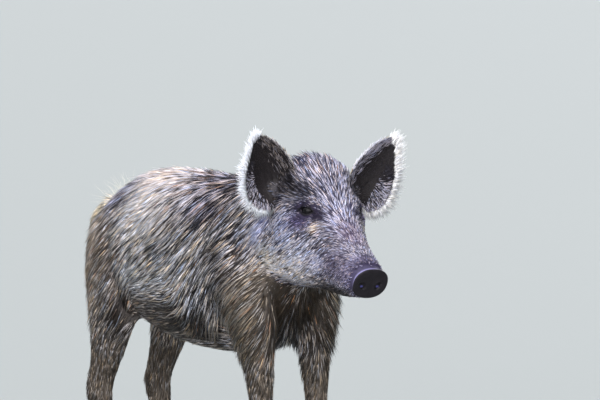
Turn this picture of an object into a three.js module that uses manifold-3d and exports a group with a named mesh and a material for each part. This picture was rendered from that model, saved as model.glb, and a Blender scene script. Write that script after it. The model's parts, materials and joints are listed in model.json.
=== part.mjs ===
// A young wild boar standing still, life size, in millimetres: +X ahead, +Y the animal's left, +Z up.
// Every solid is the outer form of the coat. The flesh is modelled whole, as rings over the trunk, neck
// and head and over each leg, and is then parted by thin cuts into the parts a person would name.
import * as THREE from "three";
import { mergeVertices } from "three/addons/utils/BufferGeometryUtils.js";
import Module from "manifold-3d";

const wasm = await Module();
wasm.setup();

// ---- Driving sizes ----
const GAP = 0.3; // clear width of every cut between two parts
const RING_SIDES = 25; // around the trunk, neck and head
const LEG_SIDES = 12;
const SMALL_SIDES = 9; // around a hoof, a claw, the tail or an ear's root
const LEFT = 1;
const RIGHT = -1;
const SIDES = { left: LEFT, right: RIGHT };

// The head's own frame: origin midway between the eyeballs, x along the palate, y left, z up.
const HEAD_PLACE = new THREE.Vector3(276, -16.5, 535);
const HEAD_TURN = THREE.MathUtils.degToRad(-7); // to the animal's right
const HEAD_NOD = THREE.MathUtils.degToRad(12.5); // nose down
const HEAD_TILT = THREE.MathUtils.degToRad(-2.5); // left side lower

const EYE_RADIUS = 12.5;
const EYE_APART = 43; // from the middle plane to an eyeball's centre
const GAZE = new THREE.Vector3(0.46, 0.87, 0.14).normalize(); // of the left eye
const LID_DEPTH = 3; // skin and lashes over the eyeball
const EYE_SLIT = { length: 20, height: 10, slope: THREE.MathUtils.degToRad(16) }; // front corner lower

const DISC = { x: 157, z: -74, half: 29.5, tall: 25, thick: 15, lean: THREE.MathUtils.degToRad(14) };
const NOSTRIL = { apart: 13.5, below: 4, wide: 4.6, tall: 6.8, deep: 9 };

// Where the whole body is parted.
const NECK_BASE_X = 112; // neck from trunk
const NAPE_X = -84; // head from neck, in the head's frame
const KNEE_Z = 148; // lower foreleg from upper
const HOCK_Z = 168; // lower hind leg from upper
const CORONET_Z = 27; // hooves from feet
const MOUTH = { front: { x: 136, z: -101 }, back: { x: -78, z: -112 } };

// ---- Outlines of the flesh, coat and all, at stations along each part ----
// top and bottom are heights, half the half-width, waist the height of the widest line;
// crown and keel say how square the upper and lower half of the section is: 2 is an ellipse.
const TRUNK = [
  { at: -418, top: 500, bottom: 454, half: 14, waist: 478, crown: 2.0, keel: 2.0 },
  { at: -410, top: 517, bottom: 402, half: 45, waist: 468, crown: 2.0, keel: 2.0 },
  { at: -394, top: 531, bottom: 360, half: 69, waist: 455, crown: 2.0, keel: 2.0 },
  { at: -370, top: 545, bottom: 332, half: 86, waist: 448, crown: 2.0, keel: 2.0 },
  { at: -335, top: 561, bottom: 318, half: 98, waist: 442, crown: 2.0, keel: 2.0 },
  { at: -290, top: 578, bottom: 312, half: 104, waist: 438, crown: 2.05, keel: 2.0 },
  { at: -245, top: 587, bottom: 300, half: 107, waist: 432, crown: 2.1, keel: 2.1 },
  { at: -190, top: 588, bottom: 288, half: 116, waist: 420, crown: 2.1, keel: 2.2 },
  { at: -130, top: 586, bottom: 280, half: 125, waist: 412, crown: 2.1, keel: 2.25 },
  { at: -70, top: 581, bottom: 277, half: 129, waist: 410, crown: 2.05, keel: 2.25 },
  { at: -10, top: 583, bottom: 277, half: 125, waist: 414, crown: 1.95, keel: 2.15 },
  { at: 45, top: 590, bottom: 282, half: 116, waist: 424, crown: 1.9, keel: 2.0 },
  { at: 88, top: 600, bottom: 298, half: 105, waist: 440, crown: 1.9, keel: 1.9 },
  { at: NECK_BASE_X, top: 608, bottom: 320, half: 97, waist: 454, crown: 1.95, keel: 1.9 },
];
const HEAD = [
  { at: NAPE_X, top: 81, bottom: -156, half: 82, waist: -54, crown: 2.4, keel: 2.0 },
  { at: -66, top: 74, bottom: -148, half: 81, waist: -60, crown: 2.4, keel: 2.1 },
  { at: -40, top: 60, bottom: -142, half: 78, waist: -64, crown: 2.5, keel: 2.2 },
  { at: -15, top: 43, bottom: -137, half: 72, waist: -67, crown: 2.6, keel: 2.2 },
  { at: 8, top: 27, bottom: -132, half: 64, waist: -69, crown: 2.65, keel: 2.2 },
  { at: 35, top: 11, bottom: -127, half: 53, waist: -68, crown: 2.5, keel: 2.2 },
  { at: 65, top: -4, bottom: -123, half: 44, waist: -67, crown: 2.3, keel: 2.2 },
  { at: 95, top: -17, bottom: -119, half: 38, waist: -68, crown: 2.2, keel: 2.2 },
  { at: 117, top: -27, bottom: -113, half: 34, waist: -69, crown: 2.2, keel: 2.2 },
  { at: 131, top: -34, bottom: -106, half: 31, waist: -70, crown: 2.2, keel: 2.2 },
  { at: 141, top: -40, bottom: -99, half: 29, waist: -70, crown: 2.2, keel: 2.2 },
  { at: 158, top: -47, bottom: -95, half: 28.5, waist: -71, crown: 2.2, keel: 2.2 },
];
const TRUNK_STEP = 45;
const NECK_STEPS = 4;
const HEAD_STEP = 15;

// Swellings and hollows of the head, mirrored on both sides: place, reach and height.
const HEAD_FORMS = [
  { name: "brow ridge", at: [-2, 37, 19], reach: 15, by: 4.5 },
  { name: "cheekbone", at: [-28, 66, -30], reach: 26, by: 5 },
  { name: "jowl", at: [-62, 72, -92], reach: 36, by: 7 },
  { name: "tear hollow", at: [27, 42, -7], reach: 15, by: -4 },
  { name: "hollow under the cheekbone", at: [18, 60, -62], reach: 24, by: -3 },
  { name: "canine swelling of the lip", at: [100, 38, -82], reach: 18, by: 4 },
  { name: "hollow along the snout", at: [80, 36, -42], reach: 22, by: -2.5 },
];

// A leg's outline seen from the side and from the front: ahead and behind are along x, inner and
// outer are distances from the middle plane.
const FORELEG = [
  { z: CORONET_Z, ahead: 125, behind: 86, inner: 50, outer: 94 },
  { z: 36, ahead: 121, behind: 83, inner: 50.5, outer: 93 },
  { z: 49, ahead: 117, behind: 77, inner: 51, outer: 92 },
  { z: 63, ahead: 113, behind: 72, inner: 51, outer: 92 },
  { z: 81, ahead: 108, behind: 72, inner: 54, outer: 89 },
  { z: 105, ahead: 107, behind: 73, inner: 55, outer: 88 },
  { z: 130, ahead: 109, behind: 72, inner: 54, outer: 89 },
  { z: 155, ahead: 114, behind: 70, inner: 51, outer: 92 },
  { z: 176, ahead: 114, behind: 69, inner: 50, outer: 93 },
  { z: 202, ahead: 112, behind: 67, inner: 50, outer: 93 },
  { z: 232, ahead: 113, behind: 60, inner: 49, outer: 95 },
  { z: 265, ahead: 116, behind: 50, inner: 47, outer: 99 },
  { z: 300, ahead: 121, behind: 34, inner: 45, outer: 104 },
  { z: 332, ahead: 127, behind: 14, inner: 42, outer: 110 },
  { z: 368, ahead: 132, behind: -4, inner: 40, outer: 116 },
  { z: 412, ahead: 130, behind: -16, inner: 38, outer: 119 },
  { z: 458, ahead: 118, behind: -14, inner: 34, outer: 115 },
  { z: 498, ahead: 98, behind: 4, inner: 30, outer: 100 },
  { z: 522, ahead: 78, behind: 22, inner: 34, outer: 76 },
];
const HIND_LEG = [
  { z: CORONET_Z, ahead: -293, behind: -333, inner: 50, outer: 94 },
  { z: 36, ahead: -297, behind: -337, inner: 50.5, outer: 93 },
  { z: 49, ahead: -302, behind: -343, inner: 51, outer: 92 },
  { z: 63, ahead: -308, behind: -350, inner: 51, outer: 92 },
  { z: 81, ahead: -316, behind: -354, inner: 54, outer: 89 },
  { z: 105, ahead: -322, behind: -360, inner: 55, outer: 88 },
  { z: 132, ahead: -327, behind: -370, inner: 54, outer: 89 },
  { z: 156, ahead: -328, behind: -384, inner: 52, outer: 91 },
  { z: 178, ahead: -326, behind: -395, inner: 50, outer: 92 },
  { z: 196, ahead: -322, behind: -399, inner: 50, outer: 91 },
  { z: 216, ahead: -312, behind: -390, inner: 49, outer: 92 },
  { z: 242, ahead: -296, behind: -380, inner: 47, outer: 95 },
  { z: 272, ahead: -274, behind: -376, inner: 44, outer: 100 },
  { z: 306, ahead: -250, behind: -382, inner: 40, outer: 106 },
  { z: 342, ahead: -238, behind: -394, inner: 34, outer: 107 },
  { z: 382, ahead: -240, behind: -405, inner: 26, outer: 109 },
  { z: 428, ahead: -254, behind: -411, inner: 20, outer: 107 },
  { z: 474, ahead: -284, behind: -408, inner: 16, outer: 96 },
  { z: 510, ahead: -320, behind: -392, inner: 16, outer: 76 },
];
// How far each foot is set ahead of its outline, and the height down to which the leg still follows the body.
const STEP = { front: { left: 8, right: 58 }, hind: { left: -45, right: -12 } };
const STEP_FROM = { front: 500, hind: 430 };
const STEP_OVER = 150;
const LEG_SQUARE = 2.25;

// Where each leg is parted from the trunk: a rounded plug that reaches in to a flat wall.
const SHOULDER_PLUG = { x: 58, z: 408, ahead: 86, above: 106, wall: 40 };
const THIGH_PLUG = { x: -326, z: 400, ahead: 92, above: 116, wall: 34 };

const HOOF = { heel: 1, toe: 15, half: 11.5, cleft: 1.6, splay: THREE.MathUtils.degToRad(4) };
const DEW_CLAW = { z: 52, behind: 2, apart: 13.5, radius: 7.5, length: 25 };

// The ear's own frame: x across from the middle edge to the outer edge, y to where it opens, z to the tip.
// It is given for the right ear, and the left is its mirror image, set a little wider.
const EAR_PLACE = new THREE.Vector3(-64, -62, 32); // of the root, in the head's frame
const EAR_AXIS = new THREE.Vector3(-0.13, -0.6, 0.79).normalize();
const EAR_OPENS = new THREE.Vector3(0.97, -0.2, 0.0).normalize();
const EAR_SPREAD = { right: { out: 0, lean: 0 }, left: { out: 11, lean: THREE.MathUtils.degToRad(3) } };
const EAR = [
  { at: -38, middle: 15, outer: 36, cup: 3 },
  { at: -33, middle: -4, outer: 57, cup: 9 },
  { at: -21, middle: -16, outer: 73, cup: 19 },
  { at: 0, middle: -22, outer: 82, cup: 28 },
  { at: 22, middle: -26, outer: 79, cup: 27 },
  { at: 45, middle: -26, outer: 66, cup: 20 },
  { at: 68, middle: -22, outer: 50, cup: 12.5 },
  { at: 89, middle: -15, outer: 35, cup: 7 },
  { at: 105, middle: -8, outer: 23, cup: 3.5 },
  { at: 112, middle: -2, outer: 14, cup: 1.5 },
];
const EAR_STEPS = { along: 12, across: 6 };
const EAR_THICK = { middle: 9, rim: 3.4 };
const EAR_ROOT = [
  { at: -24, back: 26, wide: 28, deep: 20 },
  { at: -6, back: 31, wide: 25, deep: 14 },
  { at: 16, back: 34, wide: 13, deep: 7 },
];

const TAIL_LINE = [
  [-402, 0, 516], [-434, -12, 508], [-459, -26, 482], [-466, -22, 440],
  [-458, -14, 396], [-448, -8, 352], [-444, -6, 322],
].map((p) => new THREE.Vector3(...p));
const TAIL_RADIUS = [
  { at: 0, radius: 17 },
  { at: 0.2, radius: 13.5 },
  { at: 0.5, radius: 11 },
  { at: 0.72, radius: 12 },
  { at: 0.88, radius: 9 },
  { at: 1, radius: 1.6 },
];

// ---- Materials ----
const material = (color, roughness) => new THREE.MeshStandardMaterial({ color, roughness, metalness: 0 });
const COAT = {
  body: material(0x7a6c62, 0.8),
  face: material(0x85786f, 0.75),
  legs: material(0x4a3c34, 0.8),
  ear: material(0x8f8a86, 0.8),
  tail: material(0x9a8a76, 0.85),
};
const NOSE = material(0x232023, 0.35);
const EYE = material(0x140d0a, 0.08);
const HORN = material(0x2a2421, 0.5);

// ---- Closed solids from rings, sheets and outlines ----
function closedGeometry(points, triangles) {
  const geometry = new THREE.BufferGeometry().setFromPoints(points);
  geometry.setIndex(triangles);
  return geometry;
}

// A closed body over a row of rings. Each ring turns so that the row advances by the right-hand rule.
function bodyOver(rings) {
  const sides = rings[0].length;
  const points = rings.flat();
  const triangles = [];
  const corner = (ring, side) => ring * sides + (side % sides);
  for (let ring = 0; ring + 1 < rings.length; ring++) {
    for (let side = 0; side < sides; side++) {
      const [a, b] = [corner(ring, side), corner(ring + 1, side)];
      const [d, c] = [corner(ring, side + 1), corner(ring + 1, side + 1)];
      triangles.push(a, d, c, a, c, b);
    }
  }
  const middleOf = (ring) => ring.reduce((sum, p) => sum.add(p), new THREE.Vector3()).divideScalar(sides);
  const last = rings.length - 1;
  points.push(middleOf(rings[0]), middleOf(rings[last]));
  for (let side = 0; side < sides; side++) {
    triangles.push(points.length - 2, corner(0, side + 1), corner(0, side));
    triangles.push(points.length - 1, corner(last, side), corner(last, side + 1));
  }
  return closedGeometry(points, triangles);
}

// A closed sheet between two faces, each a function of row and column that gives a point. The front
// one looks the way that its columns crossed with its rows point.
function sheetBetween(front, back, rows, columns) {
  const points = [];
  const triangles = [];
  for (const face of [front, back]) {
    for (let row = 0; row <= rows; row++) {
      for (let column = 0; column <= columns; column++) points.push(face(row / rows, column / columns));
    }
  }
  const corner = (face, row, column) => (face * (rows + 1) + row) * (columns + 1) + column;
  const quad = (a, b, c, d) => triangles.push(a, b, c, a, c, d);
  for (let row = 0; row < rows; row++) {
    for (let column = 0; column < columns; column++) {
      const [f, b] = [0, 1].map((face) => [
        corner(face, row, column),
        corner(face, row, column + 1),
        corner(face, row + 1, column + 1),
        corner(face, row + 1, column),
      ]);
      quad(f[0], f[1], f[2], f[3]);
      quad(b[3], b[2], b[1], b[0]);
    }
  }
  // The rim: once around the sheet's edge, the front face on the left.
  const rim = [];
  for (let column = 0; column < columns; column++) rim.push([0, column]);
  for (let row = 0; row < rows; row++) rim.push([row, columns]);
  for (let column = columns; column > 0; column--) rim.push([rows, column]);
  for (let row = rows; row > 0; row--) rim.push([row, 0]);
  rim.forEach((here, i) => {
    const next = rim[(i + 1) % rim.length];
    quad(corner(0, ...next), corner(0, ...here), corner(1, ...here), corner(1, ...next));
  });
  return closedGeometry(points, triangles);
}

// The smooth run of each named size between stations, as a function of the place along the part.
function sizesAlong(stations, along, names) {
  const values = stations.flatMap((station) => names.map((name) => station[name]));
  const places = stations.map((station) => station[along]);
  const curve = new THREE.CubicInterpolant(places, values, names.length);
  return (at) => {
    const found = curve.evaluate(at);
    return Object.fromEntries(names.map((name, i) => [name, found[i]]));
  };
}

// Places from first to last, with every station of the outline's ends kept and steps of about one size.
function stepsBetween(first, last, step) {
  const count = Math.max(1, Math.round((last - first) / step));
  return Array.from({ length: count + 1 }, (_, i) => first + ((last - first) * i) / count);
}

const rounded = (value, squareness) => Math.sign(value) * Math.abs(value) ** (2 / squareness);

// One upright section of the trunk or head: a ring from the left side over the top.
function crossSection(at, size) {
  return Array.from({ length: RING_SIDES }, (_, i) => {
    const angle = (2 * Math.PI * i) / RING_SIDES;
    const upper = Math.sin(angle) >= 0;
    const squareness = upper ? size.crown : size.keel;
    const reach = upper ? size.top - size.waist : size.waist - size.bottom;
    return new THREE.Vector3(
      at,
      size.half * rounded(Math.cos(angle), squareness),
      size.waist + reach * rounded(Math.sin(angle), squareness),
    );
  });
}

// ---- Joining and cutting ----
function solidOf(geometry) {
  const flat = geometry.index ? geometry.toNonIndexed() : geometry;
  const bare = new THREE.BufferGeometry().setAttribute("position", flat.getAttribute("position"));
  const merged = mergeVertices(bare, 1e-3);
  return new wasm.Manifold(
    new wasm.Mesh({
      numProp: 3,
      vertProperties: merged.getAttribute("position").array,
      triVerts: new Uint32Array(merged.index.array),
    }),
  );
}

function geometryOf(solid) {
  const mesh = solid.getMesh();
  const places = new Float32Array(mesh.numVert * 3);
  for (let i = 0; i < mesh.numVert; i++) {
    places.set(mesh.vertProperties.subarray(i * mesh.numProp, i * mesh.numProp + 3), i * 3);
  }
  const geometry = new THREE.BufferGeometry().setAttribute("position", new THREE.BufferAttribute(places, 3));
  geometry.setIndex(new THREE.BufferAttribute(mesh.triVerts, 1));
  geometry.computeVertexNormals();
  return geometry;
}

// A box far larger than the animal, whose face lies at a point and looks back along a direction.
const HUGE = 3000;
function allBeyond(point, direction) {
  const up = new THREE.Vector3(0, 0, 1);
  const turn = new THREE.Quaternion().setFromUnitVectors(up, direction.clone().normalize());
  const box = new THREE.BoxGeometry(HUGE, HUGE, HUGE).translate(0, 0, HUGE / 2);
  return solidOf(box.applyQuaternion(turn).translate(point.x, point.y, point.z));
}

// Cuts a solid in two across a plane, with the gap between the halves.
function partedAt(solid, point, direction) {
  const half = direction.clone().normalize().multiplyScalar(GAP / 2);
  const back = allBeyond(point.clone().sub(half), direction.clone().negate());
  const ahead = allBeyond(point.clone().add(half), direction);
  return { behind: solid.intersect(back), ahead: solid.intersect(ahead) };
}

// ---- Frames ----
const headMatrix = new THREE.Matrix4().compose(
  HEAD_PLACE,
  new THREE.Quaternion().setFromEuler(new THREE.Euler(HEAD_TILT, HEAD_NOD, HEAD_TURN, "ZYX")),
  new THREE.Vector3(1, 1, 1),
);
const inHead = (geometry) => geometry.clone().applyMatrix4(headMatrix);
const headPoint = (x, y, z) => new THREE.Vector3(x, y, z).applyMatrix4(headMatrix);
const headWay = (x, y, z) => new THREE.Vector3(x, y, z).transformDirection(headMatrix);

// ---- Trunk, neck and head as one row of rings ----
function headForms(point) {
  const outward = new THREE.Vector3(0, point.y, point.z - HEAD[4].waist).normalize();
  for (const form of HEAD_FORMS) {
    const away = Math.hypot(point.x - form.at[0], Math.abs(point.y) - form.at[1], point.z - form.at[2]);
    point.addScaledVector(outward, form.by * Math.exp(-((away / form.reach) ** 2)));
  }
  return point;
}

function wholeBarrel() {
  const names = ["top", "bottom", "half", "waist", "crown", "keel"];
  const trunkSize = sizesAlong(TRUNK, "at", names);
  const headSize = sizesAlong(HEAD, "at", names);
  const rump = TRUNK.slice(0, 4).map((station) => station.at);
  const trunkPlaces = [...rump, ...stepsBetween(TRUNK[4].at, NECK_BASE_X, TRUNK_STEP)];
  const headPlaces = stepsBetween(NAPE_X, HEAD.at(-1).at, HEAD_STEP);
  const trunk = trunkPlaces.map((at) => crossSection(at, trunkSize(at)));
  const head = headPlaces.map((at) =>
    crossSection(at, headSize(at)).map((point) => headForms(point).applyMatrix4(headMatrix)),
  );
  // The neck bridges the two, carrying on the run of both.
  const lines = trunk.at(-1).map(
    (point, i) => new THREE.CatmullRomCurve3([trunk.at(-2)[i], point, head[0][i], head[1][i]]),
  );
  const neck = stepsBetween(1 / 3, 2 / 3, 1 / 3 / NECK_STEPS)
    .slice(1, -1)
    .map((t) => lines.map((line) => line.getPoint(t)));
  return solidOf(bodyOver([...trunk, ...neck, ...head]));
}

// ---- Legs ----
function legFlesh(stations, side, shift, from) {
  const size = sizesAlong(stations, "z", ["ahead", "behind", "inner", "outer"]);
  const rings = stations.map(({ z }) => {
    const { ahead, behind, inner, outer } = size(z);
    const push = shift * THREE.MathUtils.smoothstep(from - z, 0, STEP_OVER);
    return Array.from({ length: LEG_SIDES }, (_, i) => {
      const angle = (2 * Math.PI * i) / LEG_SIDES;
      return new THREE.Vector3(
        (ahead + behind) / 2 + push + ((ahead - behind) / 2) * rounded(Math.cos(angle), LEG_SQUARE),
        side * ((inner + outer) / 2) + ((outer - inner) / 2) * rounded(Math.sin(angle), LEG_SQUARE),
        z,
      );
    });
  });
  return solidOf(bodyOver(rings));
}

// The room of one leg: its plug into the trunk and all that hangs below it, grown by a clearance.
function legRoom(plug, side, shift, grow) {
  const outline = new THREE.Shape();
  const [ahead, above] = [plug.ahead + grow, plug.above + grow];
  outline.absellipse(plug.x + shift, plug.z, ahead, above, 0, Math.PI, false);
  outline.lineTo(plug.x + shift - ahead, -HUGE / 2);
  outline.lineTo(plug.x + shift + ahead, -HUGE / 2);
  const depth = 400;
  const room = new THREE.ExtrudeGeometry(outline, { depth, bevelEnabled: false, curveSegments: 14 });
  // The extrusion runs along z; stand it up so that it runs out to this side.
  room.rotateX(Math.PI / 2);
  const wall = plug.wall - grow;
  room.translate(0, side === LEFT ? wall + depth : -wall, 0);
  return solidOf(room);
}

function hoofSolid(leg, side, outwards, shift) {
  const foot = leg[0];
  const centre = (foot.inner + foot.outer) / 2;
  const rings = [0, 0.35, 0.7, 1].map((t) => {
    const heel = foot.behind + HOOF.heel - 3 * (1 - t);
    const toe = foot.ahead + HOOF.toe * (1 - t) ** 1.15;
    const half = HOOF.half - 1.2 * t;
    return Array.from({ length: SMALL_SIDES }, (_, i) => {
      const angle = (2 * Math.PI * i) / SMALL_SIDES;
      const along = Math.cos(angle);
      const across = rounded(Math.sin(angle), 2.6) * (1 - 0.3 * Math.max(0, along) ** 2);
      const x = (heel + toe) / 2 + ((toe - heel) / 2) * along;
      return new THREE.Vector3(x, half * across, (CORONET_Z - GAP) * t);
    });
  });
  const y = side * centre + side * outwards * (HOOF.half + HOOF.cleft);
  const geometry = bodyOver(rings).translate(-foot.behind, 0, 0).rotateZ(side * outwards * HOOF.splay);
  return solidOf(geometry.translate(foot.behind + shift, y, 0));
}

function dewClawSolid(leg, side, outwards, shift) {
  const fetlock = leg[2];
  const centre = side * ((fetlock.inner + fetlock.outer) / 2 + outwards * DEW_CLAW.apart);
  const rings = [
    { along: 0, radius: DEW_CLAW.radius },
    { along: 0.5, radius: DEW_CLAW.radius * 0.95 },
    { along: 0.85, radius: DEW_CLAW.radius * 0.6 },
    { along: 1, radius: DEW_CLAW.radius * 0.3 },
  ].map(({ along, radius }) =>
    Array.from({ length: SMALL_SIDES }, (_, i) => {
      const angle = (2 * Math.PI * i) / SMALL_SIDES;
      const [x, y] = [radius * Math.cos(angle), -0.8 * radius * Math.sin(angle)];
      return new THREE.Vector3(x, y, -DEW_CLAW.length * along);
    }),
  );
  const claw = bodyOver(rings).rotateY(THREE.MathUtils.degToRad(28));
  return solidOf(claw.translate(fetlock.behind + DEW_CLAW.behind + shift, centre, DEW_CLAW.z));
}

// ---- Head fittings, in the head's frame ----
const eyeCentre = (side) => new THREE.Vector3(0, side * EYE_APART, 0);
const eyeBall = (side, grow) => {
  const { x, y, z } = eyeCentre(side);
  return new THREE.SphereGeometry(EYE_RADIUS + grow, 12, 8).translate(x, y, z);
};

// The slit between the lids: two arcs that meet at the corners, run out along the gaze.
function eyeSlit(side) {
  const half = EYE_SLIT.length / 2;
  const outline = new THREE.Shape();
  outline.moveTo(-half, 0);
  outline.quadraticCurveTo(0, EYE_SLIT.height * 1.15, half, 0);
  outline.quadraticCurveTo(0, -EYE_SLIT.height * 0.85, -half, 0);
  const slit = new THREE.ExtrudeGeometry(outline, { depth: 40, bevelEnabled: false, curveSegments: 5 });
  const gaze = new THREE.Vector3(GAZE.x, side * GAZE.y, GAZE.z);
  const up = new THREE.Vector3(0, 0, 1).addScaledVector(gaze, -gaze.z).normalize();
  const across = up.clone().cross(gaze);
  slit.rotateZ(side * EYE_SLIT.slope);
  slit.applyMatrix4(new THREE.Matrix4().makeBasis(across, up, gaze));
  const centre = eyeCentre(side);
  return slit.translate(centre.x, centre.y, centre.z);
}

function discSolid() {
  const steps = [
    { at: 0, share: 0.93 },
    { at: 0.25, share: 0.99 },
    { at: 0.6, share: 1.02 },
    { at: 0.86, share: 0.99 },
    { at: 1, share: 0.88 },
  ];
  const rings = steps.map(({ at, share }) =>
    Array.from({ length: 2 * SMALL_SIDES }, (_, i) => {
      const angle = (Math.PI * i) / SMALL_SIDES;
      return new THREE.Vector3(
        DISC.thick * (at - 1),
        DISC.half * share * rounded(Math.cos(angle), 2.25),
        DISC.tall * share * rounded(Math.sin(angle), 2.15),
      );
    }),
  );
  let disc = solidOf(bodyOver(rings));
  for (const side of [LEFT, RIGHT]) {
    const hole = new THREE.CylinderGeometry(1, 1, 2 * NOSTRIL.deep, SMALL_SIDES).rotateZ(Math.PI / 2);
    hole.scale(1, NOSTRIL.wide, NOSTRIL.tall);
    disc = disc.subtract(solidOf(hole.translate(0, side * NOSTRIL.apart, -NOSTRIL.below)));
  }
  return geometryOf(disc).rotateY(DISC.lean).translate(DISC.x, 0, DISC.z);
}

function earSolid(sideName) {
  const size = sizesAlong(EAR, "at", ["middle", "outer", "cup"]);
  const [first, last] = [EAR[0].at, EAR.at(-1).at];
  // More steps go to the rounded ends than to the blade between them.
  const crowded = (t) => 0.45 * t + 0.55 * (0.5 - 0.5 * Math.cos(Math.PI * t));
  const heightAt = (t) => first + (last - first) * crowded(t);
  const face = (sign) => (row, column) => {
    const at = heightAt(row);
    const { middle, outer, cup } = size(at);
    const s = 2 * column - 1;
    const rim = Math.abs(s) ** 3;
    const ends = Math.abs(2 * row - 1) ** 8;
    const thick = THREE.MathUtils.lerp(EAR_THICK.middle, EAR_THICK.rim, Math.max(rim, ends));
    const x = (middle + outer) / 2 + ((outer - middle) / 2) * s;
    return new THREE.Vector3(x, -cup * (1 - s * s) + (sign * thick) / 2, at);
  };
  const blade = sheetBetween(face(-1), face(1), EAR_STEPS.along, EAR_STEPS.across);
  // The root narrows from the back of the bowl into the skull.
  const rings = EAR_ROOT.map(({ at, back, wide, deep }) =>
    Array.from({ length: SMALL_SIDES }, (_, k) => {
      const angle = (2 * Math.PI * k) / SMALL_SIDES;
      return new THREE.Vector3(12 + wide * Math.cos(angle), -back + deep * Math.sin(angle), at);
    }),
  );
  const root = bodyOver(rings);
  const z = EAR_AXIS.clone();
  const y = EAR_OPENS.clone().addScaledVector(z, -EAR_OPENS.dot(z)).normalize();
  const x = y.clone().cross(z);
  const { out, lean } = EAR_SPREAD[sideName];
  const frame = new THREE.Matrix4().makeBasis(x, y, z);
  frame.premultiply(new THREE.Matrix4().makeRotationX(lean));
  frame.setPosition(EAR_PLACE.x, EAR_PLACE.y - out, EAR_PLACE.z);
  let ear = solidOf(blade.applyMatrix4(frame)).add(solidOf(root.applyMatrix4(frame)));
  if (sideName === "left") ear = solidOf(mirrored(geometryOf(ear)));
  return solidOf(inHead(geometryOf(ear)));
}

// The same shape on the other side of the middle plane, with its faces still pointing out.
function mirrored(geometry) {
  const other = geometry.clone().scale(1, -1, 1);
  const corners = other.index.array;
  for (let i = 0; i < corners.length; i += 3) {
    [corners[i + 1], corners[i + 2]] = [corners[i + 2], corners[i + 1]];
  }
  return other;
}

function tailSolid() {
  const line = new THREE.CatmullRomCurve3(TAIL_LINE);
  const size = sizesAlong(TAIL_RADIUS, "at", ["radius"]);
  const steps = 11;
  const frames = line.computeFrenetFrames(steps, false);
  const rings = Array.from({ length: steps + 1 }, (_, i) => {
    const centre = line.getPointAt(i / steps);
    return Array.from({ length: SMALL_SIDES }, (_, k) => {
      const angle = (2 * Math.PI * k) / SMALL_SIDES;
      const { radius } = size(i / steps);
      return centre
        .clone()
        .addScaledVector(frames.normals[i], radius * Math.cos(angle))
        .addScaledVector(frames.binormals[i], radius * Math.sin(angle));
    });
  });
  return solidOf(bodyOver(rings));
}

// ---- Fitting one solid against others ----
const largestOf = (solid) => solid.decompose().sort((a, b) => b.volume() - a.volume())[0];

// A solid and its copies moved by the gap along each of the ways given.
function grown(solid, ways) {
  return ways.reduce((whole, way) => {
    const [x, y, z] = way.map((step) => step * GAP);
    return whole.add(solidOf(geometryOf(solid).translate(x, y, z)));
  }, solid);
}

// What is left of a solid once it stands clear of the others, which lie under it against those ways.
const clearOf = (solid, others, ways) =>
  largestOf(others.reduce((left, other) => left.subtract(grown(other, ways)), solid));

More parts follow.
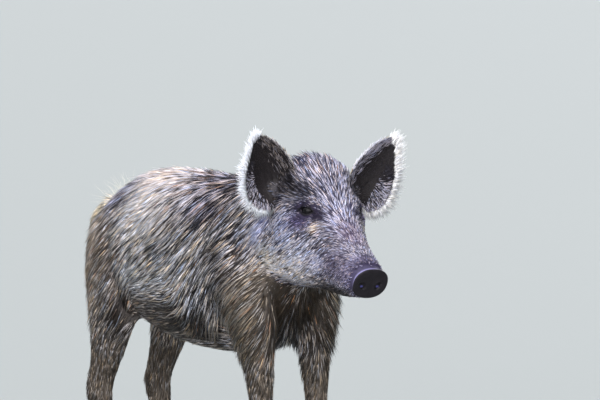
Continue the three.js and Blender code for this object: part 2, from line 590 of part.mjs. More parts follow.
// ---- The animal ----
function wildBoar() {
  const solids = new Map();
  const finishes = new Map();
  const add = (name, solid, finish) => {
    solids.set(name, largestOf(solid));
    finishes.set(name, finish);
  };
  const sides = Object.entries(SIDES);

  let flesh = wholeBarrel();
  for (const [sideName, side] of sides) {
    flesh = flesh.add(legFlesh(FORELEG, side, STEP.front[sideName], STEP_FROM.front));
    flesh = flesh.add(legFlesh(HIND_LEG, side, STEP.hind[sideName], STEP_FROM.hind));
    flesh = flesh.add(solidOf(inHead(eyeBall(side, LID_DEPTH))));
  }

  // Legs come out of the body as plugs, and each is cut at its knee or hock.
  const legs = [
    { name: "front", stations: FORELEG, plug: SHOULDER_PLUG, joint: KNEE_Z, finish: COAT.legs },
    { name: "hind", stations: HIND_LEG, plug: THIGH_PLUG, joint: HOCK_Z, finish: COAT.body },
  ];
  let body = flesh;
  for (const [sideName, side] of sides) {
    for (const leg of legs) {
      const shift = STEP[leg.name][sideName];
      const limb = `${leg.name}_${sideName}`;
      const whole = flesh.intersect(legRoom(leg.plug, side, shift, -GAP / 2));
      body = body.subtract(legRoom(leg.plug, side, shift, GAP / 2));
      const joint = partedAt(whole, new THREE.Vector3(0, 0, leg.joint), new THREE.Vector3(0, 0, 1));
      add(`leg_${limb}_upper`, joint.ahead, leg.finish);
      add(`leg_${limb}_lower`, joint.behind, COAT.legs);
      for (const [place, outwards] of [["outer", 1], ["inner", -1]]) {
        const claw = dewClawSolid(leg.stations, side, outwards, shift);
        add(`hoof_${limb}_${place}`, hoofSolid(leg.stations, side, outwards, shift), HORN);
        add(`dew_claw_${limb}_${place}`, clearOf(claw, [joint.behind], [[-1, -1, 0], [-1, 1, 0]]), HORN);
      }
    }
  }

  // The row of rings is cut into trunk, neck and head.
  const base = partedAt(body, new THREE.Vector3(NECK_BASE_X, 0, 0), new THREE.Vector3(1, 0, 0));
  const nape = partedAt(base.ahead, headPoint(NAPE_X, 0, 0), headWay(1, 0, 0));
  add("trunk", base.behind, COAT.body);
  add("neck", nape.behind, COAT.body);

  // The disc of the snout is cut off square to its lean, and a finer one takes its place.
  const back = DISC.thick + GAP / 2;
  const [leanX, leanZ] = [Math.cos(DISC.lean), -Math.sin(DISC.lean)];
  const discBack = headPoint(DISC.x - back * leanX, 0, DISC.z - back * leanZ);
  let head = partedAt(nape.ahead, discBack, headWay(leanX, 0, leanZ)).behind;
  add("nose_disc", solidOf(inHead(discSolid())), NOSE);

  for (const [sideName, side] of sides) {
    head = head.subtract(solidOf(inHead(eyeBall(side, GAP)))).subtract(solidOf(inHead(eyeSlit(side))));
    add(`eye_${sideName}`, solidOf(inHead(eyeBall(side, 0))), EYE);
  }

  // The lower jaw is parted along the closed mouth.
  const mouthWay = headWay(MOUTH.back.z - MOUTH.front.z, 0, MOUTH.front.x - MOUTH.back.x);
  const mouth = partedAt(head, headPoint(MOUTH.front.x, 0, MOUTH.front.z), mouthWay);
  add("head", mouth.ahead, COAT.face);
  add("lower_jaw", mouth.behind, COAT.face);

  for (const [sideName, side] of sides) {
    const under = [solids.get("head"), solids.get("neck")];
    add(`ear_${sideName}`, clearOf(earSolid(sideName), under, [[1, 0, 1], [-1, side, 1]]), COAT.ear);
  }
  const rump = ["trunk", "leg_hind_left_upper", "leg_hind_right_upper"].map((name) => solids.get(name));
  add("tail", clearOf(tailSolid(), rump, [[-1, -1, 1], [-1, 1, 0]]), COAT.tail);

  const boar = new THREE.Group();
  boar.name = "wild_boar";
  for (const [name, solid] of solids) {
    const mesh = new THREE.Mesh(geometryOf(solid), finishes.get(name));
    mesh.name = name;
    boar.add(mesh);
  }
  return boar;
}

// The origin is on the floor under the middle of the animal.
const boar = wildBoar();
const box = new THREE.Box3().setFromObject(boar);
const middle = box.getCenter(new THREE.Vector3());
boar.position.set(-middle.x, -middle.y, -box.min.z);

export default boar;
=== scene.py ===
# %% [markdown]
# # A young wild boar, life size
#
# The solids give this model its size, its pose and the outer form of its coat. Here the animal gets what a
# solid can't have: one skin without seams, folds and lids, and a coat of many thousands of small tufts.
# Everything stays in the frame of the solids, in metres: +X ahead, +Y to the animal's left, +Z up.

import json
import math

import bmesh
import bpy
import numpy as np
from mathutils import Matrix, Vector

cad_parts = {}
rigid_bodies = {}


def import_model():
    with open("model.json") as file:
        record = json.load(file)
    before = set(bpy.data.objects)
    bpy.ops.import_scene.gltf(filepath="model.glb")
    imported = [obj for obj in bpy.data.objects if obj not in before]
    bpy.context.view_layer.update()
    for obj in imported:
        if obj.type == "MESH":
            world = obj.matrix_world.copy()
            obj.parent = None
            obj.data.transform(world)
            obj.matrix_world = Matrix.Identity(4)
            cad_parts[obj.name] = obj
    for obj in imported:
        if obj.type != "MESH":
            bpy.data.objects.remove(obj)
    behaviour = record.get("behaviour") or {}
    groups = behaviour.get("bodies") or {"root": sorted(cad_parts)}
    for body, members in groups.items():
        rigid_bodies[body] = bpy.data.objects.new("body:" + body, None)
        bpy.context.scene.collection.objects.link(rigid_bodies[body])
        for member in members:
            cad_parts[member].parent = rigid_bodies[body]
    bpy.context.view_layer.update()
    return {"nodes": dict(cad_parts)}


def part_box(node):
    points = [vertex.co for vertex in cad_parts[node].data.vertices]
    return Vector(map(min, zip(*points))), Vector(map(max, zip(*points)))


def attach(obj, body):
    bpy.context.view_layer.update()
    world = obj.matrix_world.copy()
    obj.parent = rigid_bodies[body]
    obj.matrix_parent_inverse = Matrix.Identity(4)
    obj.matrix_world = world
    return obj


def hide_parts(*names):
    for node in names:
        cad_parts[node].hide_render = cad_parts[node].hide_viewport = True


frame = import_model()
SEED = 1207
MM = 0.001
SIDES = ("right", "left")
print("solids:", len(frame["nodes"]))

# %% [markdown]
# ## The head's own frame
#
# A head is turned, nodded and tilted, so its details are easiest to place in a frame of its own: the
# origin midway between the eyeballs, x along the palate, y left, z up, in millimetres. The boxes of
# the eyes and of the nose disc are enough to find it again. Below, h always stands for places in it.

# %% The head's frame from the eyes and the nose disc
def middle_of(node):
    low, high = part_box(node)
    return np.array((low + high) / 2)


def unit(vectors):
    return vectors / np.maximum(np.linalg.norm(vectors, axis=-1, keepdims=True), 1e-9)


NOSE_DROP = math.radians(25.7)  # how far the disc lies below the palate's line, seen from the eyes
head_middle = (middle_of("eye_left") + middle_of("eye_right")) / 2
head_left = unit(middle_of("eye_left") - middle_of("eye_right"))
to_disc = middle_of("nose_disc") - head_middle
to_disc = unit(to_disc - head_left * (to_disc @ head_left))
head_ahead = math.cos(NOSE_DROP) * to_disc + math.sin(NOSE_DROP) * np.cross(to_disc, head_left)
head_up = np.cross(head_ahead, head_left)
HEAD_AXES = np.array([head_ahead, head_left, head_up])


def in_head(points):
    return (points - head_middle) @ HEAD_AXES.T / MM


def from_head(points):
    return np.asarray(points, float) @ HEAD_AXES * MM + head_middle


print("head:", head_middle.round(3), "ahead", head_ahead.round(3))

# %% [markdown]
# ## Camera
#
# A long lens from the front right, a little above the animal's back. A long lens keeps the snout from
# looking larger than it is.

# %% Camera
LOOKS_FROM = unit(np.array([0.827, -0.558, 0.070]))
CAMERA_FAR = 6.5
VIEW_WIDE = 0.978  # what the view spans at the head, in metres
view_right = unit(np.array([-LOOKS_FROM[1], LOOKS_FROM[0], 0.0]))
view_up = np.cross(LOOKS_FROM, view_right)
# the lens looks at a place just behind and below the head's middle, so that the trunk is in view too
sights_on = head_middle + np.array([0.010, -0.0035, 0.0]) - 0.057 * view_right + 0.0212 * view_up

camera_data = bpy.data.cameras.new("long_lens")
camera_data.sensor_width = 36
camera_data.lens = 36 * CAMERA_FAR / VIEW_WIDE
camera_data.clip_end = 100
camera = bpy.data.objects.new("camera", camera_data)
bpy.context.scene.collection.objects.link(camera)
camera.location = sights_on + LOOKS_FROM * CAMERA_FAR
camera.rotation_euler = Vector(-LOOKS_FROM).to_track_quat("-Z", "Y").to_euler()
bpy.context.scene.camera = camera
print("camera:", camera_data.lens)

# %% [markdown]
# ## Light and floor
#
# A very wide lamp from above stands in for an overcast sky. One ahead and a low one open the shadows
# under the brow and the belly, and one behind draws the pale edges of the coat and of the ears' fringe.
# The floor is plain and pale.

# %% Colours from hex
def linear(code):
    """The linear colour of an sRGB hex value."""
    parts = np.array([int(code[i : i + 2], 16) / 255 for i in (1, 3, 5)])
    return np.where(parts <= 0.04045, parts / 12.92, ((parts + 0.055) / 1.055) ** 2.4)


def rgba(code):
    return (*linear(code), 1.0)


print("mid grey:", linear("#808080").round(3))

# %% Lamps, surroundings and floor
def lamp(name, place, angle, power, colour):
    """A soft far lamp that looks at the middle of the animal, and lights the floor evenly."""
    data = bpy.data.lights.new(name, "SUN")
    data.energy, data.color, data.angle = power, tuple(linear(colour)), math.radians(angle)
    thing = bpy.data.objects.new(name, data)
    bpy.context.scene.collection.objects.link(thing)
    thing.location = place
    thing.rotation_euler = (Vector((0, 0, 0.45)) - Vector(place)).to_track_quat("-Z", "Y").to_euler()


lamp("overcast", (-0.5, -1.0, 3.0), 75, 4.2, "#f7f8ff")
lamp("front_fill", (3.4, -3.0, 2.0), 60, 3.9, "#fffaf8")
lamp("edge_behind", (-1.8, 2.6, 2.2), 30, 2.4, "#f4f6ff")
lamp("low_fill", (2.6, -3.2, 0.1), 60, 1.9, "#fbf8ff")

world = bpy.data.worlds.new("studio")
bpy.context.scene.world = world
world.use_nodes = True
world.node_tree.nodes["Background"].inputs["Color"].default_value = rgba("#dfe4e6")
world.node_tree.nodes["Background"].inputs["Strength"].default_value = 0.75
bpy.context.scene.view_settings.view_transform = "Standard"

FLOOR_HALF = 60
floor_mesh = bpy.data.meshes.new("floor")
floor_corners = [(x * FLOOR_HALF, y * FLOOR_HALF, 0) for x, y in ((-1, -1), (1, -1), (1, 1), (-1, 1))]
floor_mesh.from_pydata(floor_corners, [], [(0, 1, 2, 3)])
floor = bpy.data.objects.new("floor", floor_mesh)
bpy.context.scene.collection.objects.link(floor)
floor_paint = bpy.data.materials.new("matt_pale_floor_paint")
floor_paint.use_nodes = True
floor_paint.node_tree.nodes["Principled BSDF"].inputs["Base Color"].default_value = rgba("#7b7f7d")
floor_paint.node_tree.nodes["Principled BSDF"].inputs["Roughness"].default_value = 0.9
floor_mesh.materials.append(floor_paint)

# %% [markdown]
# ## Numbers along a form
#
# Every smooth change from one place to the next uses one step function, every crease one fold, and
# every smooth patch one bell. A few sines added together stand in for the slow irregularities of a
# living thing: they are the same on each run.

# %% Steps, bells and slow waves
def step(low, high, value):
    """0 at the first limit, 1 at the second; it may also run down, with the first the higher."""
    t = np.clip((value - low) / (high - low), 0, 1)
    return t * t * (3 - 2 * t)


def fold(value, wide):
    """A crease's cross-section: 1 on its line, falling off to nothing over its width."""
    return np.exp(-((value / wide) ** 2))


def bell(points, centre, reach):
    """1 at the centre, falling off over the reach along each axis; both sides of the animal alike."""
    away = (np.abs(points * [0, 1, 0]) + points * [1, 0, 1] - centre) / reach
    return np.exp(-(away**2).sum(-1))


def waves(points, size, seed):
    """Slow noise from -1 to 1 with swellings of about the given size."""
    rng = np.random.default_rng(seed)
    total = np.zeros(len(points))
    for _ in range(7):
        way = unit(rng.normal(size=3)) * 2 * np.pi / (size * rng.uniform(1.6, 3.2))
        total += np.sin(points @ way + rng.uniform(0, 2 * np.pi))
    return total / 3.2


def between(one, other, share):
    """One measure where the share is 0, the other where it is 1."""
    return one * (1 - share) + other * share


def mix(one, other, share):
    """The same for colours and directions, which have three numbers at each place."""
    return between(one, other, np.clip(share, 0, 1)[:, None])


print("half a step:", step(0, 1, 0.5), "fold at its width:", fold(1.0, 1.0).round(3))

# %% [markdown]
# ## The skin, from the solids of flesh
#
# The solids are parted by thin cuts and have flat facets. A voxel remesh of all of them together gives
# one closed surface of even squares. Relaxing it takes the facets out, more on the wide trunk than on
# the thin legs, and it then sinks by the depth of the coat, which is deep on the back, short on the
# face and nothing on the nose.

# %% One closed surface from all the flesh
EARS = ["ear_left", "ear_right"]
EYES = ["eye_left", "eye_right"]
HORN = [n for n in frame["nodes"] if n.startswith(("hoof_", "dew_claw_"))]
FLESH = [n for n in frame["nodes"] if n not in HORN + EYES]
SKIN_GRID = 5.2 * MM


def add_object(name, mesh):
    thing = bpy.data.objects.new(name, mesh)
    bpy.context.scene.collection.objects.link(thing)
    return thing


def finished(thing):
    """The mesh of an object with its modifiers applied; the object itself is taken away."""
    bpy.context.view_layer.update()
    shown = thing.evaluated_get(bpy.context.evaluated_depsgraph_get())
    mesh = bpy.data.meshes.new_from_object(shown)
    bpy.data.objects.remove(thing)
    return mesh


def places(mesh):
    found = np.empty(len(mesh.vertices) * 3, np.float32)
    mesh.vertices.foreach_get("co", found)
    return found.reshape(-1, 3).astype(float)


def set_places(mesh, points):
    mesh.vertices.foreach_set("co", points.astype(np.float32).ravel())
    mesh.update()


def normals(mesh):
    found = np.empty(len(mesh.vertices) * 3, np.float32)
    mesh.vertex_normals.foreach_get("vector", found)
    return found.reshape(-1, 3).astype(float)


flesh = bmesh.new()
for node in [n for n in FLESH if n not in EARS] + EYES:
    flesh.from_mesh(frame["nodes"][node].data)
flesh_mesh = bpy.data.meshes.new("flesh")
flesh.to_mesh(flesh_mesh)
flesh.free()
flesh_object = add_object("flesh", flesh_mesh)
remesh = flesh_object.modifiers.new("even_squares", "REMESH")
remesh.mode, remesh.voxel_size = "VOXEL", SKIN_GRID
skin_mesh = finished(flesh_object)
print("skin, first:", len(skin_mesh.polygons))

# %% Relaxing
def neighbours(mesh):
    """Every edge taken both ways: the corner at its start and the one at its end."""
    edges = np.empty(len(mesh.edges) * 2, np.int32)
    mesh.edges.foreach_get("vertices", edges)
    return np.r_[edges[0::2], edges[1::2]], np.r_[edges[1::2], edges[0::2]]


def sum_of_near(here, there, values):
    return np.stack([np.bincount(here, values[there, i], len(values)) for i in range(3)], 1)


def relax(mesh, amount, rounds):
    """Moves each corner towards the middle of its neighbours, by an amount per corner."""
    here, there = neighbours(mesh)
    points = places(mesh)
    count = np.bincount(here, minlength=len(points))[:, None]
    amount = np.broadcast_to(amount, len(points))[:, None]
    for _ in range(rounds):
        points += amount * (sum_of_near(here, there, points) / np.maximum(count, 1) - points)
    set_places(mesh, points)


def head_share(points):
    """1 on the head, 0 on the trunk, changing over the neck and under the jaw."""
    h = in_head(points)
    under = h[:, 2] - 0.35 * np.maximum(np.abs(h[:, 1]) - 25, 0)
    return step(-125, -60, h[:, 0]) * step(-150, -138, under)


def leg_share(points):
    """1 on the legs below the belly, 0 on the body."""
    return step(0.33, 0.24, points[:, 2])


def tail_share(points):
    """1 on the tail, whose middle swings to the right and back towards its end."""
    x, y, z = points.T
    middle = -0.026 * step(0.52, 0.475, z) + 0.018 * step(0.45, 0.34, z)
    return step(-0.388, -0.402, x) * step(0.27, 0.30, z) * step(0.030, 0.023, np.abs(y - middle))


at = places(skin_mesh)
thin = np.maximum.reduce([leg_share(at), tail_share(at)])
calm = 0.5 * (1 - head_share(at)) * (1 - thin) + 0.13 * head_share(at) + 0.11 * thin
relax(skin_mesh, calm, 40)
print("relaxed:", len(at))

# %% Sinking by the coat's depth
def coat_depth(points, facing):
    """How thick the coat lies over the skin at each place, in metres."""
    h = in_head(points)
    head = head_share(points)
    back = np.clip(facing[:, 2], 0, 1)
    trunk = 6.0 + 1.5 * back + 1.5 * back * step(-0.06, 0.12, points[:, 0])
    trunk = trunk + 3.0 * step(-0.28, -0.34, points[:, 0])
    face = 4.2 - 1.8 * step(10, 95, h[:, 0]) + 2.0 * step(-70, -110, h[:, 2])
    face = face * step(132, 118, h[:, 0]) + 2.2 * step(143, 149, h[:, 0])
    # thin round the eye, but not on the bridge between the eyes, which counts as 100 mm further away
    eye = np.hypot(h[:, 0] - 2, h[:, 2] - 1) + 100 * (np.abs(h[:, 1]) < 20)
    face = face - (face - 1.4) * step(34, 16, eye)
    depth = between(trunk, face, head)
    depth = between(depth, 2.4 + 2.2 * step(0.10, 0.22, points[:, 2]), leg_share(points))
    depth = depth * step(0.022, 0.036, points[:, 2])
    return between(depth, 4.0, tail_share(points)) * MM


def flank_fold(points):
    """The fold between flank and thigh and the thigh's swelling behind it, in metres of depth."""
    x, y, z = points.T
    behind = (-0.262 + 0.245 * (0.45 - z) - x) / MM
    tall = step(0.50, 0.44, z) * step(0.27, 0.31, z) * step(0.04, 0.07, np.abs(y))
    return (6.5 * fold(behind, 8) - 2.5 * fold(behind - 27, 15)) * tall * MM


skin_normals = normals(skin_mesh)
at = places(skin_mesh)
sunk = coat_depth(at, skin_normals) + flank_fold(at)
set_places(skin_mesh, at - skin_normals * sunk[:, None])
relax(skin_mesh, 0.25 * (1 - leg_share(at)), 4)
print("skin depth, mean mm:", (coat_depth(at, skin_normals).mean() / MM).round(2))

# %% [markdown]
# ## Finer squares where the detail is
#
# Folds and lids need squares of about a millimetre, and the trunk under its coat doesn't. The head is
# halved once, the eyes, the nose and the mouth twice.

# %% Refining the head, then eyes and nose
EYE_RADIUS = 13.0
EYE_SUNK = 2.4  # how much deeper the ball and its lids sit than the solid's
EYE_BACK, EYE_RAISED = 5.5, 1.0  # and how far behind and above it
GAZE = unit(np.array([0.46, 0.87, 0.14]))  # of the left eye; the right one mirrors it
EYE_AT = in_head(middle_of("eye_left")[None])[0] - EYE_SUNK * GAZE - [EYE_BACK, 0, -EYE_RAISED]
DISC_AT = in_head(middle_of("nose_disc")[None])[0] * [1, 0, 1]


def refine(mesh, wanted, rounds):
    """Halves the edges between wanted corners, and relaxes what was halved."""
    work = bmesh.new()
    work.from_mesh(mesh)
    points = np.array([v.co for v in work.verts])
    chosen = wanted(points)
    edges = [e for e in work.edges if chosen[e.verts[0].index] and chosen[e.verts[1].index]]
    bmesh.ops.subdivide_edges(work, edges=edges, cuts=1, use_grid_fill=True)
    work.to_mesh(mesh)
    work.free()
    relax(mesh, 0.4 * wanted(places(mesh)), rounds)


def on_head(points):
    h = in_head(points)
    return (h[:, 0] > -92) & (points[:, 2] > 0.34) & (h[:, 2] > -175)


def on_details(points):
    h = in_head(points)
    side = np.abs(h[:, 1])
    eye = np.hypot(h[:, 0] - 4, h[:, 2] + 2) < 27
    return (eye & (side > 26)) | (h[:, 0] > 106)


refine(skin_mesh, on_head, 3)
refine(skin_mesh, on_details, 2)
print("skin, refined:", len(skin_mesh.polygons))

# %% [markdown]
# ## Sculpting the head
#
# Each fold is a line or a ring with a depth and a width, pressed into the surface along its normal.
# The eye sits in a socket under a heavy brow: the lids hug the eyeball, with creases above and below
# that grow softer away from it. The skin behind the nose disc is wrinkled across, and the mouth is
# closed.

# %% The plane of the eye's opening
SLIT_HALF, SLIT_UP, SLIT_DOWN = 12.6, 6.6, 5.0
SLIT_SLOPE = math.radians(8)  # the front corner is lower
flat_up = unit(np.array([0, 0, 1.0]) - GAZE[2] * GAZE)
flat_front = np.cross(flat_up, GAZE)
slit_front = flat_front * math.cos(SLIT_SLOPE) - flat_up * math.sin(SLIT_SLOPE)
slit_up = flat_up * math.cos(SLIT_SLOPE) + flat_front * math.sin(SLIT_SLOPE)
MIRROR = {"right": np.array([1, -1, 1]), "left": np.array([1, 1, 1])}


def own_mirror(h):
    return np.where(h[:, 1:2] < 0, MIRROR["right"], MIRROR["left"])


def to_left(h):
    """The same place on the left half of the head."""
    return h * own_mirror(h)


def eye_plane(h):
    """Along the slit towards its front corner, up across it, and out along the gaze, from the eyeball."""
    away = to_left(h) - EYE_AT
    return away @ slit_front, away @ slit_up, away @ GAZE


def slit_edge(along, height):
    """The height of a lid's edge above the line between the corners."""
    return height * np.clip(1 - (along / SLIT_HALF) ** 2, 0, None) ** 0.8


print("slit axes:", slit_front.round(2), slit_up.round(2))

# %% Lids and socket
LID_THICK = 2.0
h = in_head(places(skin_mesh))
skin_normals = normals(skin_mesh) @ HEAD_AXES.T
along, across, out = eye_plane(h)
from_ball = to_left(h) - EYE_AT
far = np.linalg.norm(from_ball, axis=1)
on_lid = step(0.1, 0.6, out / far) * step(20, 12.5, np.hypot(along * 0.85, across))
h = h + unit(from_ball) * (on_lid * (EYE_RADIUS + LID_THICK - far))[:, None] * own_mirror(h)

brow = 3.6 * fold(along + 1, 19) * fold(across - 14, 7)
corner = 2.2 * fold(along - 17, 7) * fold(across - 5, 6)
pouch = 1.6 * fold(along + 2, 14) * fold(across + 11, 4)
creases = (
    -1.7 * fold(across - slit_edge(along, SLIT_UP) - 3.6, 1.1) * step(16, 8, np.abs(along))
    - 1.1 * fold(across - slit_edge(along * 0.7, 5) - 8.4, 1.3) * step(20, 10, np.abs(along + 2))
    - 0.7 * fold(across - slit_edge(along * 0.5, 5) - 12.6, 1.5) * step(22, 10, np.abs(along + 4))
    - 1.2 * fold(across + slit_edge(along * 0.85, 4) + 3.4, 1.1) * step(15, 8, np.abs(along))
    - 1.1 * fold(across + slit_edge(along * 0.6, 6) + 7.2, 1.3) * step(17, 8, np.abs(along + 1))
    - 0.8 * fold(across + slit_edge(along * 0.5, 8) + 11.0, 1.5) * step(17, 8, np.abs(along + 2))
    - 1.9 * fold(across + 0.4 * (along - 10), 1.7) * step(9, 12, along) * step(32, 22, along)
)
near_eye = step(40, 24, np.hypot(along, across)) * (out > -8)
h = h + skin_normals * ((brow + corner + pouch + creases) * near_eye)[:, None]
print("eye, corners moved:", int((on_lid > 0.01).sum()))

# %% Wrinkles behind the nose disc
DISC_LEAN = math.radians(14)
DISC_HALF, DISC_TALL, DISC_THICK = 31.0, 27.0, 15.0
disc_ahead = np.array([math.cos(DISC_LEAN), 0, -math.sin(DISC_LEAN)])
disc_up = np.array([math.sin(DISC_LEAN), 0, math.cos(DISC_LEAN)])


def disc_plane(h):
    """How far behind the disc's front face a place is, and its place across the disc."""
    away = h - DISC_AT
    return DISC_THICK / 2 - away @ disc_ahead, away[:, 1], away @ disc_up


behind, side, up = disc_plane(h)
# how far behind the disc's face, how deep, how wide and how wavy
WRINKLES = ((17.5, 1.5, 1.8, 0.6), (24, 1.1, 1.5, 1.0), (31, 0.7, 1.7, 1.4), (39, 0.4, 1.9, 1.5))
pressed = sum(
    -depth * fold(behind - at - 0.06 * np.abs(side) - bend * np.sin(side / 6 + at), wide)
    for at, depth, wide, bend in WRINKLES
)
bulge = 1.0 * fold(behind - 21 - 0.06 * np.abs(side), 2.6)
h = h + skin_normals * ((pressed + bulge) * step(-20, 4, up) * step(104, 114, h[:, 0]))[:, None]
print("nose:", DISC_AT.round(1))

# %% Mouth, jowl and jaw
ahead, high = h[:, 0], h[:, 2]
mouth_height = -97 - 0.10 * (118 - ahead) - 4.0 * fold(ahead - 96, 12) + 5 * step(50, 14, ahead)
mouth = fold(high - mouth_height, 2.3) * step(10, 26, ahead) * (1 - step(133, 146, ahead))
mouth = mouth * step(4, 12, np.abs(h[:, 1]))
lip = fold(high - mouth_height - 6.5, 4.5) * step(20, 40, ahead) * step(134, 120, ahead)
cheek_fold = fold(ahead + 2 - 0.35 * (high + 90), 6) * step(-135, -112, high) * step(-55, -80, high)
jaw_bone = bell(h, [-40, 66, -122], [30, 16, 12])
h = h + skin_normals * (-2.6 * mouth + 1.3 * lip - 1.4 * cheek_fold + 2.0 * jaw_bone)[:, None]

ahead, high = h[:, 0], h[:, 2]
cheekbone = bell(h, [-34, 66, -26], [24, 16, 13])
temple = bell(h, [-34, 50, 22], [18, 14, 14])
muzzle_vein = fold(high + 52 - 0.3 * (ahead - 80), 6) * step(40, 60, ahead) * step(125, 105, ahead)
poll_side = bell(h, [-68, 42, 44], [24, 14, 18])
h = h + skin_normals * (2.0 * cheekbone - 2.2 * temple + 0.7 * muzzle_vein + 7.0 * poll_side)[:, None]
set_places(skin_mesh, from_head(h))
print("mouth, corners pressed in:", (mouth > 0.5).sum())

# %% [markdown]
# ## The nose disc
#
# The disc is gristle: a flat oval with a crisp rim, quite unlike the soft skin behind it. It is turned
# as rings from the middle of its face, over the rim and back into the muzzle, and two comma-shaped
# nostrils are pressed in, each a round pit with a slit that runs up and out. It is joined on with the
# ears.

# %% Closed solids from rings
def tube(rings, name):
    """A closed solid over rings of points."""
    sides = len(rings[0])
    points = np.concatenate(rings)
    faces = [
        (r * sides + k, r * sides + (k + 1) % sides, (r + 1) * sides + (k + 1) % sides, (r + 1) * sides + k)
        for r in range(len(rings) - 1) for k in range(sides)
    ]
    faces += [tuple(range(sides))[::-1], tuple((len(rings) - 1) * sides + k for k in range(sides))]
    mesh = bpy.data.meshes.new(name)
    mesh.from_pydata(points.tolist(), [], faces)
    return mesh


def outward(mesh):
    """Turns all faces of a closed mesh to point out."""
    work = bmesh.new()
    work.from_mesh(mesh)
    bmesh.ops.recalc_face_normals(work, faces=work.faces)
    if work.calc_volume(signed=True) < 0:
        bmesh.ops.reverse_faces(work, faces=work.faces)
    work.to_mesh(mesh)
    work.free()
    return mesh


# %% The disc as rings
def oval(angle, power):
    """The two coordinates of a rounded oval at an angle, rounder for a power near 2."""
    c, s = np.cos(angle), np.sin(angle)
    return np.sign(c) * np.abs(c) ** (2 / power), np.sign(s) * np.abs(s) ** (2 / power)


def disc_mesh():
    angle = np.linspace(0, 2 * np.pi, 96, endpoint=False)
    wide, tall = oval(angle, 2.25)
    face = [(share, 0.0) for share in np.linspace(0.03, 0.9, 26)]
    rim = [(0.9 + 0.1 * math.sin(t), 2.6 * (1 - math.cos(t))) for t in np.linspace(0.2, math.pi / 2, 8)]
    wall = [(0.97, 4.6), (0.92, 7.0), (0.87, 10.0), (0.83, 14.0), (0.78, 18.0), (0.66, 21.0), (0.4, 23.0)]
    rings = []
    for share, back in face + rim + wall:
        side, up = DISC_HALF * share * wide, DISC_TALL * share * tall
        front = (back == 0) * 1.0
        pit_side, pit_up = np.abs(side) - 13.4, up + 3.6
        pit = np.hypot(pit_side / 4.6, (pit_up - 0.25 * pit_side) / 6.2)
        slit = np.hypot((np.abs(side) - 18.6) / 4.4, (up - 0.6) / 2.0)
        sunk = 1.2 * fold(share, 0.55) - 0.5 * fold(share - 0.78, 0.1)
        sunk = sunk + 9.0 * step(1.12, 0.72, pit) + 2.2 * step(1.2, 0.3, slit) - 0.8 * fold(pit - 1.3, 0.16)
        sunk = sunk + 0.9 * fold(side, 1.5) * step(-6, -14, up)
        ahead = DISC_THICK / 2 - back - sunk * front
        ring = DISC_AT + ahead[:, None] * disc_ahead + up[:, None] * disc_up + side[:, None] * [0, 1, 0]
        rings.append(from_head(ring))
    return tube(rings, "nose_disc")


added = [outward(disc_mesh())]
print("nose disc, corners:", len(added[0].vertices))

# %% [markdown]
# ## Ears
#
# An ear is a cupped leaf of skin on gristle. It is drawn as rows from its root to its tip, each row an
# arc between the middle edge and the outer edge, with the sizes of the solid less the hair that
# stands out from the rim. Low ridges run up the inside from the root, and a short cone carries the
# blade on the head.

# %% Each ear's own frame
# in the ear's own frame and in mm: how far up, the middle edge, the outer edge, how deep the cup is
EAR_ROWS = np.array([
    [-26, 16, 30, 3], [-23, 2, 43, 8], [-16.5, -9, 54, 16], [0, -21, 64, 26], [22, -26, 61.5, 26],
    [44, -25, 50, 19], [64, -21.5, 33.5, 11.5], [79, -13.5, 18, 6], [88, -6, 10, 3], [91, -1, 5, 1.5],
])
EAR_FOOT, EAR_TIP = EAR_ROWS[0, 0], EAR_ROWS[-1, 0]
EAR_PLACE = np.array([-64, -62, 32])
EAR_AXIS = unit(np.array([-0.13, -0.6, 0.79]))
EAR_OPENS = np.array([0.97, -0.2, 0.0])
# the animal spreads its left ear: how far in mm it stands further out, how much it leans out, and how
# much it turns its opening to the middle
EAR_SPREAD = {"right": (0, 0, 0), "left": (12, math.radians(4), math.radians(12))}


def curve_through(rows, where):
    """A smooth run of each column of rows through the values of its first column."""
    x = rows[:, 0]
    slope = np.gradient(rows[:, 1:], x, axis=0)
    i = np.clip(np.searchsorted(x, where) - 1, 0, len(x) - 2)
    gap = (x[i + 1] - x[i])[:, None]
    t = (where - x[i])[:, None] / gap
    a, b = rows[i, 1:], rows[i + 1, 1:]
    return (
        a * (1 + 2 * t) * (1 - t) ** 2 + b * t**2 * (3 - 2 * t)
        + gap * (slope[i] * t * (1 - t) ** 2 + slope[i + 1] * t**2 * (t - 1))
    )


def ear_frame(side):
    """The ear's axes in the head's frame: to its outer edge, out of its opening, to its tip; and its root."""
    out, lean_out, turned = EAR_SPREAD[side]
    opens = unit(EAR_OPENS - EAR_AXIS * (EAR_OPENS @ EAR_AXIS))
    c, s = math.cos(turned), math.sin(turned)
    outer = np.cross(opens, EAR_AXIS)
    axes = np.array([c * outer + s * opens, c * opens - s * outer, EAR_AXIS])
    c, s = math.cos(lean_out), math.sin(lean_out)
    axes = axes @ np.array([[1, 0, 0], [0, c, s], [0, -s, c]])
    place = EAR_PLACE + [0, -out, 0.25 * out]
    if side == "left":
        axes, place = axes * [1, -1, 1], place * [1, -1, 1]
    return axes, place


print("ear roots:", {side: ear_frame(side)[1].tolist() for side in SIDES})

# %% Ear blades as closed sheets
def ear_point(s, up, face):
    """A point of the ear: s from -1 at the middle edge to 1 at the outer, face 1 inside and -1 behind."""
    middle, outer, cup = curve_through(EAR_ROWS, up).T
    thick = 3.4 - 1.7 * np.maximum(np.abs(s) ** 3, step(70, EAR_TIP, up))
    ridges = sum(
        high * fold(s - place, 0.055) * step(-22, -5, up) * step(top, top - 30, up)
        for place, high, top in ((-0.42, 1.7, 62), (-0.16, 1.5, 50), (0.12, 1.3, 44))
    )
    inner_edge = 3.0 * step(-0.72, -1, s) * step(80, 30, up)
    y = -cup * (1 - s**2) + face * thick / 2 + (ridges * (face > 0)) + inner_edge
    return np.stack([(middle + outer) / 2 + (outer - middle) / 2 * s, y, up], 1)


